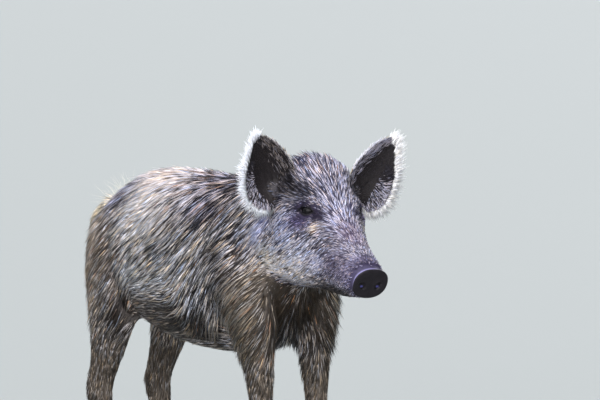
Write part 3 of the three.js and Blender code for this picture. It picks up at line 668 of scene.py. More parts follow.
def ear_mesh(side):
    up, s = np.linspace(EAR_FOOT, EAR_TIP, 66), np.linspace(-1, 1, 44)
    up_all, s_all = np.repeat(up, len(s)), np.tile(s, len(up))
    axes, place = ear_frame(side)
    both = np.concatenate([ear_point(s_all, up_all, face) for face in (1, -1)])
    points = from_head(both @ axes + place)
    rows, columns = len(up), len(s)
    grid = np.arange(rows * columns).reshape(rows, columns)
    quads = np.stack([grid[:-1, :-1], grid[:-1, 1:], grid[1:, 1:], grid[1:, :-1]], -1).reshape(-1, 4)
    rim = np.concatenate([grid[0, :-1], grid[:-1, -1], grid[-1, :0:-1], grid[:0:-1, 0]])
    following = np.roll(rim, -1)
    back = rows * columns
    rim_quads = np.stack([following, rim, rim + back, following + back], -1)
    faces = np.concatenate([quads[:, ::-1], quads + back, rim_quads[:, ::-1]])
    mesh = bpy.data.meshes.new("ear")
    mesh.from_pydata(points.tolist(), [], faces.tolist())
    return mesh


# the rings of the root: how far up, how far behind the opening, half its width and half its depth
ROOT_RINGS = ((-26, 24, 25, 17), (-14, 26, 24, 15), (-4, 28.5, 21.5, 10.5), (8, 31, 15, 6), (16, 32, 9, 3))
ROOT_ACROSS = 14
ROOT_SIDES = 28


def ear_root(side):
    axes, place = ear_frame(side)
    angle = np.linspace(0, 2 * np.pi, ROOT_SIDES, endpoint=False)
    rings = []
    for up, back, wide, deep in ROOT_RINGS:
        across, out = ROOT_ACROSS + wide * np.cos(angle), -back + deep * np.sin(angle)
        rings.append(from_head(np.stack([across, out, np.full(ROOT_SIDES, up)], 1) @ axes + place))
    return tube(rings, "ear_root")


ears = [outward(make(side)) for side in SIDES for make in (ear_mesh, ear_root)]
added = ears + added
print("ears, corners:", [len(mesh.vertices) for mesh in ears])

# %% [markdown]
# ## Toes of the dew claws
#
# Above each pair of hooves two small claws stand out behind the leg. The solids have the claws alone, so
# each gets a short toe of flesh that leads from the leg to its root: a tube of rings that grow smaller.

# %% Toes
def toe(node, other):
    """A short toe of flesh, from inside the leg to inside the root of a dew claw."""
    high = np.array(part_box(node)[1])
    start = np.array([high[0] + 8 * MM, (middle_of(node)[1] + middle_of(other)[1]) / 2, high[2] + 6 * MM])
    end = np.array([high[0] - 10 * MM, middle_of(node)[1], high[2] - 10 * MM])
    way = unit(end - start)
    side = unit(np.cross(way, [0, 0, 1.0]))
    angle = np.linspace(0, 2 * np.pi, 20, endpoint=False)
    rings = []
    for share, radius in ((0, 9.0), (0.35, 8.6), (0.6, 7.8), (0.8, 6.6), (0.93, 5.4), (1.0, 3.5)):
        around_way = np.cos(angle)[:, None] * side + np.sin(angle)[:, None] * np.cross(way, side)
        rings.append(start + (end - start) * share + around_way * radius * MM)
    return tube(rings, "toe")


claws = [n for n in HORN if n.startswith("dew_claw_") and n.endswith("_inner")]
pairs = [(n, n.replace("_inner", "_outer")) for n in claws]
added = [outward(toe(*pair)) for one, two in pairs for pair in ((one, two), (two, one))] + added
print("toes:", 2 * len(pairs))

# %% [markdown]
# ## Joining on the ears, the disc and the toes, and opening the lids
#
# An exact boolean joins them to the skin and cuts the almond between the lids, so that the lids keep a
# real thickness over the eyeball. The seams of each ear and of the disc are then relaxed into fillets.

# %% Almond cutters
def almond(side):
    """A rod with the outline of the opening, from inside the eyeball out through the lids."""
    angle = np.linspace(0, 2 * np.pi, 40, endpoint=False)
    along = SLIT_HALF * np.cos(angle)
    across = np.where(angle < np.pi, slit_edge(along, SLIT_UP), -slit_edge(along, SLIT_DOWN))
    outline = EYE_AT + along[:, None] * slit_front + across[:, None] * slit_up
    return tube([from_head((outline + out * GAZE) * MIRROR[side]) for out in (4.0, 30.0)], "almond")


added = [add_object("added", mesh) for mesh in added]
cutters = [add_object("almond", outward(almond(side))) for side in SIDES]
print("corners to join on:", [len(piece.data.vertices) for piece in added])

# %% Joining and cutting
skin = add_object("skin", skin_mesh)
for tool, mode in [(piece, "UNION") for piece in added] + [(cutter, "DIFFERENCE") for cutter in cutters]:
    cut = skin.modifiers.new("cut", "BOOLEAN")
    cut.operation, cut.object, cut.solver = mode, tool, "EXACT"
before_cut = len(skin_mesh.vertices)
skin_mesh = finished(skin)
for tool in added + cutters:
    bpy.data.objects.remove(tool)
print("skin, joined:", before_cut, "->", len(skin_mesh.vertices))

# %% Fillets round the ears and the disc, softened lid edges
def shade_smooth(mesh):
    for polygon in mesh.polygons:
        polygon.use_smooth = True


h = in_head(places(skin_mesh))
fillet = np.zeros(len(h))
for side in SIDES:
    axes, place = ear_frame(side)
    across, out, up = ((h - place) @ axes.T).T
    ring_far = np.hypot(across - 12, out + 26)
    fillet = np.maximum(fillet, step(44, 26, ring_far) * step(24, 2, up) * step(-45, -25, up))
relax(skin_mesh, 0.5 * fillet, 10)
along, across, out = eye_plane(h)
lid_edge = step(15, 11, np.hypot(along, across * 1.6)) * (out > 9)
relax(skin_mesh, 0.3 * lid_edge, 2)
behind, _, _ = disc_plane(in_head(places(skin_mesh)))
relax(skin_mesh, 0.5 * step(9, 12, behind) * step(24, 17, behind), 6)
shade_smooth(skin_mesh)
skin = add_object("skin", skin_mesh)
print("skin triangles:", sum(len(p.vertices) - 2 for p in skin_mesh.polygons))

# %% [markdown]
# ## Markings
#
# The coat is grizzled: every bristle is dark at its root, and many end in a pale split tip. So a place
# has four things: the dark colour, the pale colour, the share of bristles that end pale, and the share
# of those that end rusty instead. Both the skin and the tufts read them here, so they agree everywhere.
# Each mark is a soft patch, alike on both sides, painted over the ones before it.

# %% The marks
# middle and reach in mm, pale and dark colour, how fully painted, added share of pale, share of rusty
TRUNK_MARKS = {
    "haunch": ([-350, 90, 420], [95, 90, 130], "#d6c8bc", "#6b6159", 1.0, 0.10, 0.06),
    "loins": ([-175, 20, 585], [110, 80, 42], "#fff3f0", "#423b3c", 1.0, 0.31, 0.06),
    "saddle": ([-165, 95, 516], [92, 70, 42], "#fffafb", "#332d35", 1.0, 0.43, 0.03),
    "rump": ([-275, 55, 555], [45, 70, 40], "#cfcadc", "#221e28", 1.0, -0.09, 0.0),
    "crest": ([30, 0, 570], [110, 82, 50], "#e4dbe8", "#0a0816", 1.0, -0.15, 0.20),
    "below crest": ([25, 50, 534], [66, 40, 22], "#c4bfd4", "#0b0917", 0.9, -0.22, 0.04),
    "low flank": ([-120, 100, 412], [100, 60, 26], "#fffdff", "#2e2a2c", 0.9, 0.25, 0.04),
    "shoulder": ([130, 115, 470], [55, 60, 75], "#c6bfc0", "#151213", 0.8, -0.10, 0.06),
    "neck": ([175, 85, 500], [38, 50, 60], "#d0cedb", "#2f2e38", 0.8, 0.14, 0.0),
    "belly": ([-70, 90, 330], [190, 110, 40], "#a2978d", "#1e1917", 0.9, -0.16, 0.08),
    # painted shade: the coat darker along the fold between flank and thigh
    "fold shade, upper": ([-259, 100, 432], [11, 70, 36], "#5f5752", "#120f0f", 0.9, -0.20, 0.0),
    "fold shade, lower": ([-241, 100, 358], [12, 70, 42], "#5f5752", "#120f0f", 0.9, -0.20, 0.0),
    "throat": ([185, 60, 428], [38, 60, 18], "#cfc2b2", "#3a332c", 0.9, 0.05, 0.10),
    # dark brown chest, painted darker still as the shade under the jaw and between the forelegs
    "chest, shaded": ([182, 34, 360], [52, 50, 62], "#413830", "#38312a", 1.0, -0.38, 0.06),
    "forearm": ([168, 104, 345], [60, 40, 90], "#aaa093", "#453e37", 1.0, 0.10, 0.08),
}
# the blue-violet of the head's colours is partly painted light: the sky's blue in the shade of the hair
HEAD_MARKS = {
    "forehead": ([-20, 10, 40], [50, 34, 40], "#bfbbcd", "#100f28", 0.95, -0.03, 0.0),
    "brow middle": ([35, 12, 5], [34, 20, 24], "#e0ddf0", "#2a2645", 0.9, 0.12, 0.0),
    "poll": ([-64, 10, 68], [28, 44, 16], "#adacc4", "#0a0a2f", 0.95, -0.07, 0.12),
    "rust tips": ([-46, 6, 58], [18, 24, 12], "#ded7de", "#121034", 0.8, 0.03, 0.25),
    "temple": ([-52, 56, 26], [28, 18, 19], "#6d6a72", "#070608", 1.0, -0.08, 0.0),
    "brow": ([-22, 46, 28], [26, 14, 13], "#7d7a86", "#0f0e19", 1.0, -0.05, 0.0),
    "cheek": ([0, 60, -62], [46, 30, 24], "#f2f1ff", "#15153a", 0.95, 0.16, 0.0),
    "behind eye": ([-30, 72, -32], [18, 34, 24], "#d6daf4", "#363a5c", 0.9, 0.12, 0.0),
    "low cheek": ([-10, 54, -102], [52, 40, 28], "#fffaff", "#2b2930", 1.0, 0.31, 0.0),
    "jowl": ([-74, 72, -98], [34, 36, 34], "#fffaf6", "#1b1817", 1.0, 0.32, 0.04),
    "jowl edge": ([-96, 66, -110], [9, 50, 44], "#f0deca", "#393641", 0.8, 0.26, 0.0),
    # pale hair, painted blue by the sky's light on the side of the nape
    "nape side, sky blue": ([-96, 78, -36], [20, 44, 34], "#cdd4fe", "#50548c", 1.0, 0.46, 0.0),
    "bridge": ([80, 0, -12], [40, 26, 18], "#aba1b2", "#3d3048", 0.9, 0.04, 0.0),
    "muzzle side": ([95, 38, -60], [38, 26, 30], "#a39cb0", "#2f293c", 0.95, -0.04, 0.0),
    "muzzle patch": ([48, 44, -68], [15, 26, 13], "#e6e6fc", "#48486c", 0.8, 0.26, 0.0),
    "behind disc": ([137, 0, -45], [13, 60, 50], "#9a92ac", "#17132a", 1.0, -0.12, 0.0),
    "beside disc": ([130, 30, -66], [17, 22, 26], "#bbb3ce", "#2f2a44", 0.9, 0.10, 0.0),
    # painted shade: the lips below the mouth and the chin darker, as in the shade under the muzzle
    "lips, shaded": ([90, 30, -106], [48, 34, 11], "#66656d", "#18171a", 0.9, -0.12, 0.0),
    "chin, shaded": ([75, 0, -122], [56, 50, 16], "#5f564f", "#1b1817", 1.0, -0.20, 0.0),
    "tear": ([26, 42, -17], [7, 30, 7.5], "#fff0dc", "#6a5a4a", 0.75, 0.22, 0.10),
    "eye corner": ([22, 40, 1], [12, 26, 9], "#4d475c", "#1d1829", 1.0, -0.26, 0.0),
    "pouch": ([-3, 56, -16], [20, 26, 12], "#8f86b0", "#0f0b26", 1.0, -0.02, 0.0),
    "upper lid": ([-6, 50, 5], [19, 26, 9], "#4a4260", "#0e0a1a", 1.0, -0.20, 0.0),
}
print("marks:", len(TRUNK_MARKS), "on the trunk,", len(HEAD_MARKS), "on the head")

# %% Dark, pale, share and rusty share at any place
def beside_ears(points):
    """1 in the hollow round the root of each ear, 0 elsewhere."""
    near = np.zeros(len(points))
    for side in SIDES:
        axes, place = ear_frame(side)
        across, out, up = ((in_head(points) - place) @ axes.T).T
        here = step(56, 44, np.abs(across - 22)) * step(-56, -44, out) * step(12, 2, out)
        near = np.maximum(near, here * step(40, 24, up) * step(-44, -34, up))
    return near


def over(base, code, share):
    """A colour painted over others, by a share at each place."""
    return mix(base, linear(code)[None], share)


def even(code, points):
    """One colour for all the places."""
    return np.repeat(linear(code)[None], len(points), axis=0)


def marked(where, marks, dark, pale, share):
    """Head or trunk, with its marks painted over its ground colours."""
    rusty = np.full(len(where), 0.04)
    for middle, reach, pale_code, dark_code, strength, more, rust in marks.values():
        here = strength * np.clip(1.3 * bell(where, middle, reach), 0, 1)
        pale, dark = over(pale, pale_code, here), over(dark, dark_code, here)
        share, rusty = share + more * here, rusty * (1 - here) + rust * here
    return dark, pale, share, rusty


def markings(points):
    """Dark colour, pale colour, share of pale bristles and share of rusty ones among them."""
    slow = 0.08 * waves(points, 0.045, 3)
    head = head_share(points)
    # the ground of the trunk, then of the head: dark colour, pale colour and the share of pale bristles
    ground = even("#0f0d0f", points), even("#fffafc", points), 0.46 + slow
    trunk = marked(points / MM, TRUNK_MARKS, *ground)
    # the head's ground: its blue-violet is partly painted light, the sky's blue in the hair's shade
    ground = even("#17152c", points), even("#dcd9e8", points), 0.52 + slow
    face = marked(in_head(points), HEAD_MARKS, *ground)
    dark, pale = mix(trunk[0], face[0], head), mix(trunk[1], face[1], head)
    share, rusty = (between(trunk[k], face[k], head) for k in (2, 3))
    # painted shade: the coat in the hollow round each ear's root is darker
    hollow = beside_ears(points)
    pale, dark = over(pale, "#4f4b52", 0.8 * hollow), over(dark, "#0c0a0c", hollow)
    leg, foot, tail = leg_share(points), step(0.10, 0.05, points[:, 2]), tail_share(points)
    pale, dark = over(pale, "#857b70", 0.9 * leg), over(dark, "#453e37", leg)
    pale = over(pale, "#4a423b", foot)
    pale, dark = over(pale, "#efe4cf", tail), over(dark, "#8a7a64", tail)
    share = share - 0.10 * leg - 0.10 * foot + 0.35 * tail
    rusty = rusty * (1 - leg) * (1 - tail) * (1 - hollow)
    return dark, pale, np.clip(share, 0.04, 0.95), rusty


print("markings at the head's middle:", markings(head_middle[None])[2].round(2))

# %% [markdown]
# ## The lie and length of the coat
#
# Bristles run from the snout back over the forehead to the poll, back and down over the flanks, and
# down the legs. They are about 6 mm long on the muzzle, 15 mm on the cheek, 27 mm on the neck, 36 mm on
# the flank and 42 mm on the crest, which stands up a little.

# %% Which way it lies
# a place on the side of the trunk (x and z in mm), and how many degrees the coat points down from
# the line to the tail
TRUNK_LIE = np.array([
    [0, 560, 95], [-110, 556, 65], [-200, 550, 45], [-300, 515, 55], [-240, 500, 40], [-180, 525, 22],
    [-60, 525, 65], [60, 535, 75], [150, 515, 42], [-335, 470, 85], [-280, 450, 45], [-180, 460, 37],
    [-95, 460, 40], [0, 480, 53], [60, 450, 58], [130, 470, 52], [165, 430, 58], [-232, 405, 55],
    [-180, 430, 31], [-80, 425, 28], [-150, 375, 12], [-60, 360, -5], [50, 380, 65], [100, 420, 45],
])
# a place on the left half of the head (ahead, left and up in mm), and the same angle there
FACE_LIE = np.array([
    [-60, 10, 64, 8], [-15, 15, 36, 12], [-48, 50, 30, -5], [-76, 60, 40, -45], [-2, 38, 22, 10],
    [-36, 72, -15, 70], [-60, 75, -25, 75], [-92, 76, -43, 50], [-45, 76, -50, 56], [-8, 65, -48, 53],
    [30, 45, -38, 58], [51, 38, -34, 62], [52, 13, -4, 8], [90, 8, -20, 0], [-78, 76, -85, 39],
    [-45, 76, -76, 40], [16, 52, -62, 48], [65, 38, -75, 45], [100, 35, -72, 52], [17, 49, -88, 33],
    [-8, 56, -94, 28], [10, 40, -106, 20], [-60, 62, -112, -10], [-98, 74, -130, 42], [60, 26, -106, 30],
    [-78, 58, -128, -12],
])


def blend(where, table, reach):
    """The last column of a table, blended between the places in its other columns."""
    away = ((where[:, None, :] - table[None, :, :-1]) ** 2).sum(-1)
    weight = 1 / (away + reach**2) ** 2
    return (weight * table[:, -1]).sum(1) / weight.sum(1)


def laid(vectors, facing):
    """Directions turned into the surface."""
    return unit(vectors - facing * (vectors * facing).sum(1, keepdims=True))


def turned_down(back, outward_down, facing, degrees):
    """The direction back in the surface, turned by an angle towards the one that leads out and down."""
    back = laid(back, facing)
    down = np.cross(facing, back)
    down = down * np.where((down * outward_down).sum(1, keepdims=True) < 0, -1, 1)
    angle = np.radians(degrees)[:, None]
    return back * np.cos(angle) + down * np.sin(angle)


def lie(points, facing):
    """The direction of the coat at each place."""
    h = in_head(points)
    x, y, z = points.T
    ones, none, out = np.ones(len(x)), np.zeros(len(x)), np.where(y < 0, -1, 1)
    degrees = blend(np.stack([x, z], 1) / MM, TRUNK_LIE, 25) * step(0.002, 0.042, np.abs(y))
    trunk = turned_down(np.stack([-ones, none, none], 1), np.stack([none, out, -ones], 1), facing, degrees)
    buttock = laid(np.stack([none, 0.3 * out, -ones], 1), facing)
    trunk = mix(trunk, buttock, step(-0.35, -0.85, facing[:, 0]))
    breast = np.stack([-0.5 * ones, 0.6 * out * step(0, 0.03, np.abs(y)), -0.85 * ones], 1)
    trunk = mix(trunk, laid(breast, facing), step(0.45, 0.41, z) * step(0.06, 0.13, x))
    throat = laid(np.stack([-ones, 0.2 * out, 0.3 * ones], 1), facing)
    trunk = mix(trunk, throat, 1.2 * bell(h, [-70, 32, -138], [24, 34, 12]))
    body = mix(trunk, laid(np.stack([-0.28 * ones, none, -ones], 1), facing), leg_share(points))

    half = to_left(h)
    degrees = blend(half, FACE_LIE, 17) * step(0, 12, half[:, 1])
    head_out = head_left * np.where(h[:, 1:2] < 0, -1, 1)
    face = turned_down(-head_ahead * ones[:, None], 0.5 * head_out - head_up, facing, degrees)
    way = mix(body, face, head_share(points))
    along_tail = laid(np.stack([-0.2 * ones, none, -ones], 1), facing)
    return laid(mix(way, along_tail, tail_share(points)), facing)


def smoothed(mesh, ways, facing, rounds):
    """Directions on a mesh, each made more like its neighbours'."""
    here, there = neighbours(mesh)
    for _ in range(rounds):
        ways = laid(ways + sum_of_near(here, there, ways), facing)
    return ways


print("places with a hand-set lie:", len(TRUNK_LIE), "on the trunk,", len(FACE_LIE), "on the head")

# %% How long, how wide, how much it stands out, and how many
def trunk_coat(points, facing):
    x, y, z = points.T
    crest = step(0.55, 0.95, facing[:, 2]) * step(-0.16, -0.02, x) * step(0.05, 0.02, np.abs(y))
    long = 36 + 6 * crest - 4 * step(-0.2, -0.36, x) - 12 * step(0.34, 0.24, z)
    return long, 1.0 - 0.1 * step(0.0, 0.1, x), 0.10 + 0.05 * crest, np.full(len(x), 0.25)


def face_coat(h):
    ahead, up = h[:, 0], h[:, 2]
    long = 15 + 12 * step(-60, -95, ahead) + 2 * step(30, 60, up) - 9 * step(20, 105, ahead)
    long = long + 3 * step(-95, -120, up)
    wide = 0.7 - 0.17 * step(20, 100, ahead)
    many = 0.47 + 0.27 * step(35, 85, ahead)
    # short and dense round the eye, and none on the eye itself; the bridge counts as far away again
    bridge = 100 * (np.abs(h[:, 1]) < 22)
    close = step(36, 17, np.hypot(ahead - 2, up) + bridge)
    long, wide = between(long, 5.5, close), between(wide, 0.5, close)
    many = (many + 0.40 * close) * step(8, 12, np.hypot((ahead - 1) / 1.35, up / 0.9) + bridge)
    # none on the disc, and closer behind the lower half of the disc than behind the upper
    behind, _, above = disc_plane(h)
    many = many * step(12, 24 - 8 * step(10, -8, above), behind)
    return long, wide, 0.13 - 0.08 * step(20, 60, up), many


def coat_at(points, facing):
    """Length and width in mm, lift as a share of the length, and tufts for each square mm."""
    h, z = in_head(points), points[:, 2]
    head, leg, tail = head_share(points), leg_share(points), tail_share(points)
    both = zip(trunk_coat(points, facing), face_coat(h))
    long, wide, lift, many = (between(trunk, face, head) for trunk, face in both)
    long, wide = between(long, 8 + 11 * step(0.06, 0.22, z), leg), between(wide, 0.85, leg)
    many = between(many, 0.21, leg) * step(0.022, 0.034, z)
    long = long - np.maximum(long - 8, 0) * beside_ears(points)
    long = long * (1 - 0.6 * np.clip(1.4 * bell(h, [-84, 40, -152], [20, 34, 12]), 0, 1))  # the throat
    long, wide = between(long, 18 + 26 * step(0.40, 0.33, z), tail), between(wide, 0.95, tail)
    return long, wide, lift, between(many, 0.5, tail)


middle_coat = coat_at(head_middle[None], np.array([[0, 0, 1.0]]))
print("coat between the eyes, length and width in mm:", middle_coat[0].round(1), middle_coat[1].round(2))

# %% [markdown]
# ## Tufts
#
# A tuft is a closed three-sided spindle: a point at its root, three corners at its bend and a point at
# its tip, six triangles in all. All tufts of a piece are computed together as arrays and become one
# mesh. Each carries its colours at its root, its bend and its tip, and a small patch of the OFBake map
# at its root's place on an unwrap of the skin, so that the colours can be baked later.

# %% The mesh of many tufts
PATCH = 0.003  # a tuft's side on the OFBake map, whose own side is 1
ROOT_FACES = [(0, 1 + (k + 1) % 3, 1 + k) for k in range(3)]
TIP_FACES = [(4, 1 + k, 1 + (k + 1) % 3) for k in range(3)]
TUFT_FACES = np.array(ROOT_FACES + TIP_FACES)
PATCH_U = np.array([[k + 0.5, k + 1, k] for k in range(3)] + [[k + 0.5, k, k + 1] for k in range(3)]) / 3
PATCH_V = np.array([[0.0, 0.45, 0.45]] * 3 + [[1.0, 0.55, 0.55]] * 3)
PATCH_SHAPE = (np.stack([PATCH_U.ravel(), PATCH_V.ravel()], 1) - 0.5) * PATCH
TUFTS_PER_PIECE = 28000
BEND_AT = 0.38  # how far along a tuft its bend is, where it is widest


def tuft_mesh(name, tufts, material):
    """One mesh of closed spindles. tufts holds an array for each of its names, all equally long."""
    n = len(tufts["root"])
    root, facing, flow = tufts["root"], tufts["facing"], tufts["flow"]
    side = np.cross(facing, flow)
    long, wide = tufts["long"][:, None] * MM, tufts["wide"][:, None] * MM
    lift, sway = tufts["lift"][:, None], tufts["sway"][:, None]
    rise = BEND_AT * (1.6 - 0.6 * BEND_AT)  # steeper near the root, so the tuft bends over towards its tip
    bend = root + long * (flow * BEND_AT + facing * lift * rise + side * sway * BEND_AT**2)
    corners = np.empty((n, 5, 3))
    corners[:, 0] = root - facing * 0.8 * MM
    corners[:, 1] = bend - side * wide / 2
    corners[:, 2] = bend + side * wide / 2
    corners[:, 3] = bend + facing * wide * 0.5
    corners[:, 4] = root + long * (flow + facing * lift + side * sway)
    colours = np.ones((n, 5, 4))
    colours[:, 0, :3] = tufts["root_colour"]
    colours[:, 1:4, :3] = tufts["bend_colour"][:, None]
    colours[:, 4, :3] = tufts["tip_colour"]

    mesh = bpy.data.meshes.new(name)
    mesh.vertices.add(n * 5)
    mesh.vertices.foreach_set("co", corners.astype(np.float32).ravel())
    mesh.loops.add(n * TUFT_FACES.size)
    corner_numbers = TUFT_FACES.ravel() + 5 * np.arange(n)[:, None]
    mesh.loops.foreach_set("vertex_index", corner_numbers.astype(np.int32).ravel())
    mesh.polygons.add(n * len(TUFT_FACES))
    mesh.polygons.foreach_set("loop_start", np.arange(0, n * TUFT_FACES.size, 3, dtype=np.int32))
    mesh.update(calc_edges=True)
    layer = mesh.color_attributes.new("coat_colour", "FLOAT_COLOR", "POINT")
    layer.data.foreach_set("color", colours.astype(np.float32).ravel())
    patches = tufts["unwrapped"][:, None, :] + PATCH_SHAPE
    uv = mesh.uv_layers.new(name="OFBake")
    uv.uv.foreach_set("vector", np.clip(patches, 0, 1).astype(np.float32).ravel())
    mesh.materials.append(material)
    return mesh


def add_coat(name, tufts, material):
    """The pieces of one coat. Each takes tufts from everywhere, so its patches seldom meet."""
    n = len(tufts["root"])
    pieces = math.ceil(n / TUFTS_PER_PIECE)
    for k in range(pieces):
        chosen = {key: values[k::pieces] for key, values in tufts.items()}
        label = f"{name}_{k + 1}" if pieces > 1 else name
        piece = add_object(label, tuft_mesh(label, chosen, material))
        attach(piece, "root")
    print(name, "tufts:", n, "pieces:", pieces)


print("triangles in a full piece of coat:", TUFTS_PER_PIECE * len(TUFT_FACES))

# %% [markdown]
# ## Materials
#
# A bristle is grown keratin: a satin surface with an IOR near 1.55, which gives the coat a soft light
# along the way it lies. Its colour comes from the tufts; a noise keeps two neighbours from being alike.
# The skin is seen only between bristles, on the lids and behind the nose: pores make it matt. The nose
# disc is bare, moist leather, whose fine pebbles break up the light; they are drawn 1.8 mm across,
# coarser than real ones, so that they show. Hooves are horn, with growth rings and streaks. The eye is
# wet and nearly black, so it shows as a small dark gleam.

# %% Nodes
def add_node(tree, kind, settings=None, **links):
    """Adds a node. settings are its own options, links are its inputs: a value or another's output."""
    node = tree.nodes.new(kind)
    for key, value in (settings or {}).items():
        setattr(node, key, value)
    for key, value in links.items():
        socket = next(s for s in node.inputs if s.name.replace(" ", "_").lower() == key and s.enabled)
        if isinstance(value, bpy.types.NodeSocket):
            tree.links.new(value, socket)
        else:
            socket.default_value = value
    return node


def new_material(name, roughness, ior, specular=0.5):
    material = bpy.data.materials.new(name)
    material.use_nodes = True
    shader = material.node_tree.nodes["Principled BSDF"]
    shader.inputs["Roughness"].default_value = roughness
    shader.inputs["IOR"].default_value = ior
    shader.inputs["Specular IOR Level"].default_value = specular
    return material, material.node_tree, shader


def place_mm(tree):
    """Places in millimetres, for patterns that have a real size."""
    where = add_node(tree, "ShaderNodeTexCoord")
    return add_node(
        tree, "ShaderNodeVectorMath", {"operation": "SCALE"}, vector=where.outputs["Object"], scale=1 / MM
    ).outputs["Vector"]


def mottled(tree, shader, where, detail, scale, low, high):
    """The colour painted on the mesh, made darker or lighter between two factors by a noise."""
    own = add_node(tree, "ShaderNodeAttribute", {"attribute_name": "coat_colour"})
    noise = add_node(tree, "ShaderNodeTexNoise", None, vector=where, scale=scale, detail=detail)
    factor = add_node(
        tree, "ShaderNodeMapRange", None, value=noise.outputs["Fac"], to_min=low, to_max=high
    )
    scaled = add_node(
        tree, "ShaderNodeVectorMath", {"operation": "SCALE"},
        vector=own.outputs["Color"], scale=factor.outputs["Result"],
    )
    tree.links.new(scaled.outputs["Vector"], shader.inputs["Base Color"])


# %% Bristles
bristle, tree, shader = new_material("boar_bristle_keratin", 0.45, 1.55, 0.15)
mottled(tree, shader, place_mm(tree), 3.0, 0.35, 0.72, 1.28)  # a change every 3 mm, a lock's width
print("bristle:", len(tree.nodes), "nodes")

# %% Skin under the coat
hide, tree, shader = new_material("boar_hide_skin", 0.6, 1.45, 0.18)
where = place_mm(tree)
mottled(tree, shader, where, 4.0, 0.25, 0.65, 1.35)  # blotches of 4 mm
pores = add_node(tree, "ShaderNodeTexVoronoi", None, vector=where, scale=0.8)  # 1.2 mm between pores
bump = add_node(
    tree, "ShaderNodeBump", None, height=pores.outputs["Distance"], strength=0.35, distance=0.3 * MM
)
tree.links.new(bump.outputs["Normal"], shader.inputs["Normal"])
print("skin:", len(tree.nodes), "nodes")

# %% Nose leather
nose_leather, tree, shader = new_material("moist_nose_leather", 0.45, 1.42, 0.12)
where = place_mm(tree)
mottled(tree, shader, where, 3.0, 0.09, 0.6, 1.4)  # clouds of 11 mm
pebbles = add_node(tree, "ShaderNodeTexVoronoi", None, vector=where, scale=0.55)  # pebbles of 1.8 mm
bump = add_node(
    tree, "ShaderNodeBump", None, height=pebbles.outputs["Distance"], strength=0.5, distance=0.5 * MM
)
tree.links.new(bump.outputs["Normal"], shader.inputs["Normal"])
shader.inputs["Coat Weight"].default_value = 0.03
shader.inputs["Coat Roughness"].default_value = 0.3
print("nose leather:", len(tree.nodes), "nodes")

# %% Horn of the hooves
horn, tree, shader = new_material("hoof_horn_keratin", 0.5, 1.54, 0.45)
where = place_mm(tree)
# streaks 1.1 mm wide and 20 mm long run down from the coronet
streaks = add_node(tree, "ShaderNodeMapping", None, vector=where, scale=(0.9, 0.9, 0.05))
grain = add_node(tree, "ShaderNodeTexNoise", None, vector=streaks.outputs["Vector"], scale=1.0, detail=4.0)
ramp = add_node(tree, "ShaderNodeValToRGB", None, fac=grain.outputs["Fac"])
ramp.color_ramp.elements[0].position, ramp.color_ramp.elements[0].color = 0.3, rgba("#1d1916")
ramp.color_ramp.elements[1].position, ramp.color_ramp.elements[1].color = 0.75, rgba("#5a5046")
tree.links.new(ramp.outputs["Color"], shader.inputs["Base Color"])
bump = add_node(tree, "ShaderNodeBump", None, height=grain.outputs["Fac"], strength=0.5, distance=0.4 * MM)
tree.links.new(bump.outputs["Normal"], shader.inputs["Normal"])
print("horn:", len(tree.nodes), "nodes")

# %% Eye: dark iris under a clear wet cornea
wet_eye, tree, shader = new_material("wet_dark_eye", 0.24, 1.376, 0.12)
mottled(tree, shader, place_mm(tree), 3.0, 1.2, 0.6, 1.4)  # the iris's fibres, 0.8 mm apart
shader.inputs["Coat Weight"].default_value = 0.05
shader.inputs["Coat Roughness"].default_value = 0.05
print("materials:", [m.name for m in bpy.data.materials if m.use_nodes])

# %% [markdown]
# ## Dressing the skin
#
# The skin takes the same markings, a little darker, because it is seen in the shade between bristles.
# Round the eye and behind the disc it is bare and dark violet. The upper rim of the disc is painted
# paler, as a highlight where it catches the light of the sky, and its face is nearly black. The nostrils
# are painted darker inside, as shade, and a painted violet glint, a reflection of the sky, lies low in
# each nostril. The disc's faces get the nose leather.

# %% Which skin is an ear's
def paint(mesh, colours):
    layer = mesh.color_attributes.new("coat_colour", "FLOAT_COLOR", "POINT")
    layer.data.foreach_set("color", np.c_[colours, np.ones(len(colours))].astype(np.float32).ravel())


def ear_skin(h):
    """Which places are on an ear, and which of them on its inside."""
    on_ear, inner = np.zeros(len(h), bool), np.zeros(len(h), bool)
    for side in SIDES:
        axes, place = ear_frame(side)
        across, out, up = ((h - place) @ axes.T).T
        middle, outer, cup = curve_through(EAR_ROWS, np.clip(up, EAR_FOOT, EAR_TIP)).T
        s = (across - (middle + outer) / 2) / np.maximum((outer - middle) / 2, 1)
        blade = out + cup * (1 - np.clip(s, -1, 1) ** 2)
        here = (np.abs(s) < 1.08) & (np.abs(blade) < 5) & (up > EAR_FOOT - 1.5) & (up < EAR_TIP + 2)
        on_ear |= here
        inner[here] = blade[here] > 0
    return on_ear, inner


skin_at, skin_facing = places(skin_mesh), normals(skin_mesh)
on_ear, inner = ear_skin(in_head(skin_at))
print("skin corners on the ears:", on_ear.sum())

# %% The skin's colours
dark, pale, share, _ = markings(skin_at)
along, across, out = eye_plane(in_head(skin_at))
outside = np.where(across > 0, across - slit_edge(along, SLIT_UP), -across - slit_edge(along, SLIT_DOWN))
outside = np.maximum(outside, np.abs(along) - SLIT_HALF)
behind, side, up = disc_plane(in_head(skin_at))
round_disc = np.hypot(side / DISC_HALF, up / DISC_TALL)
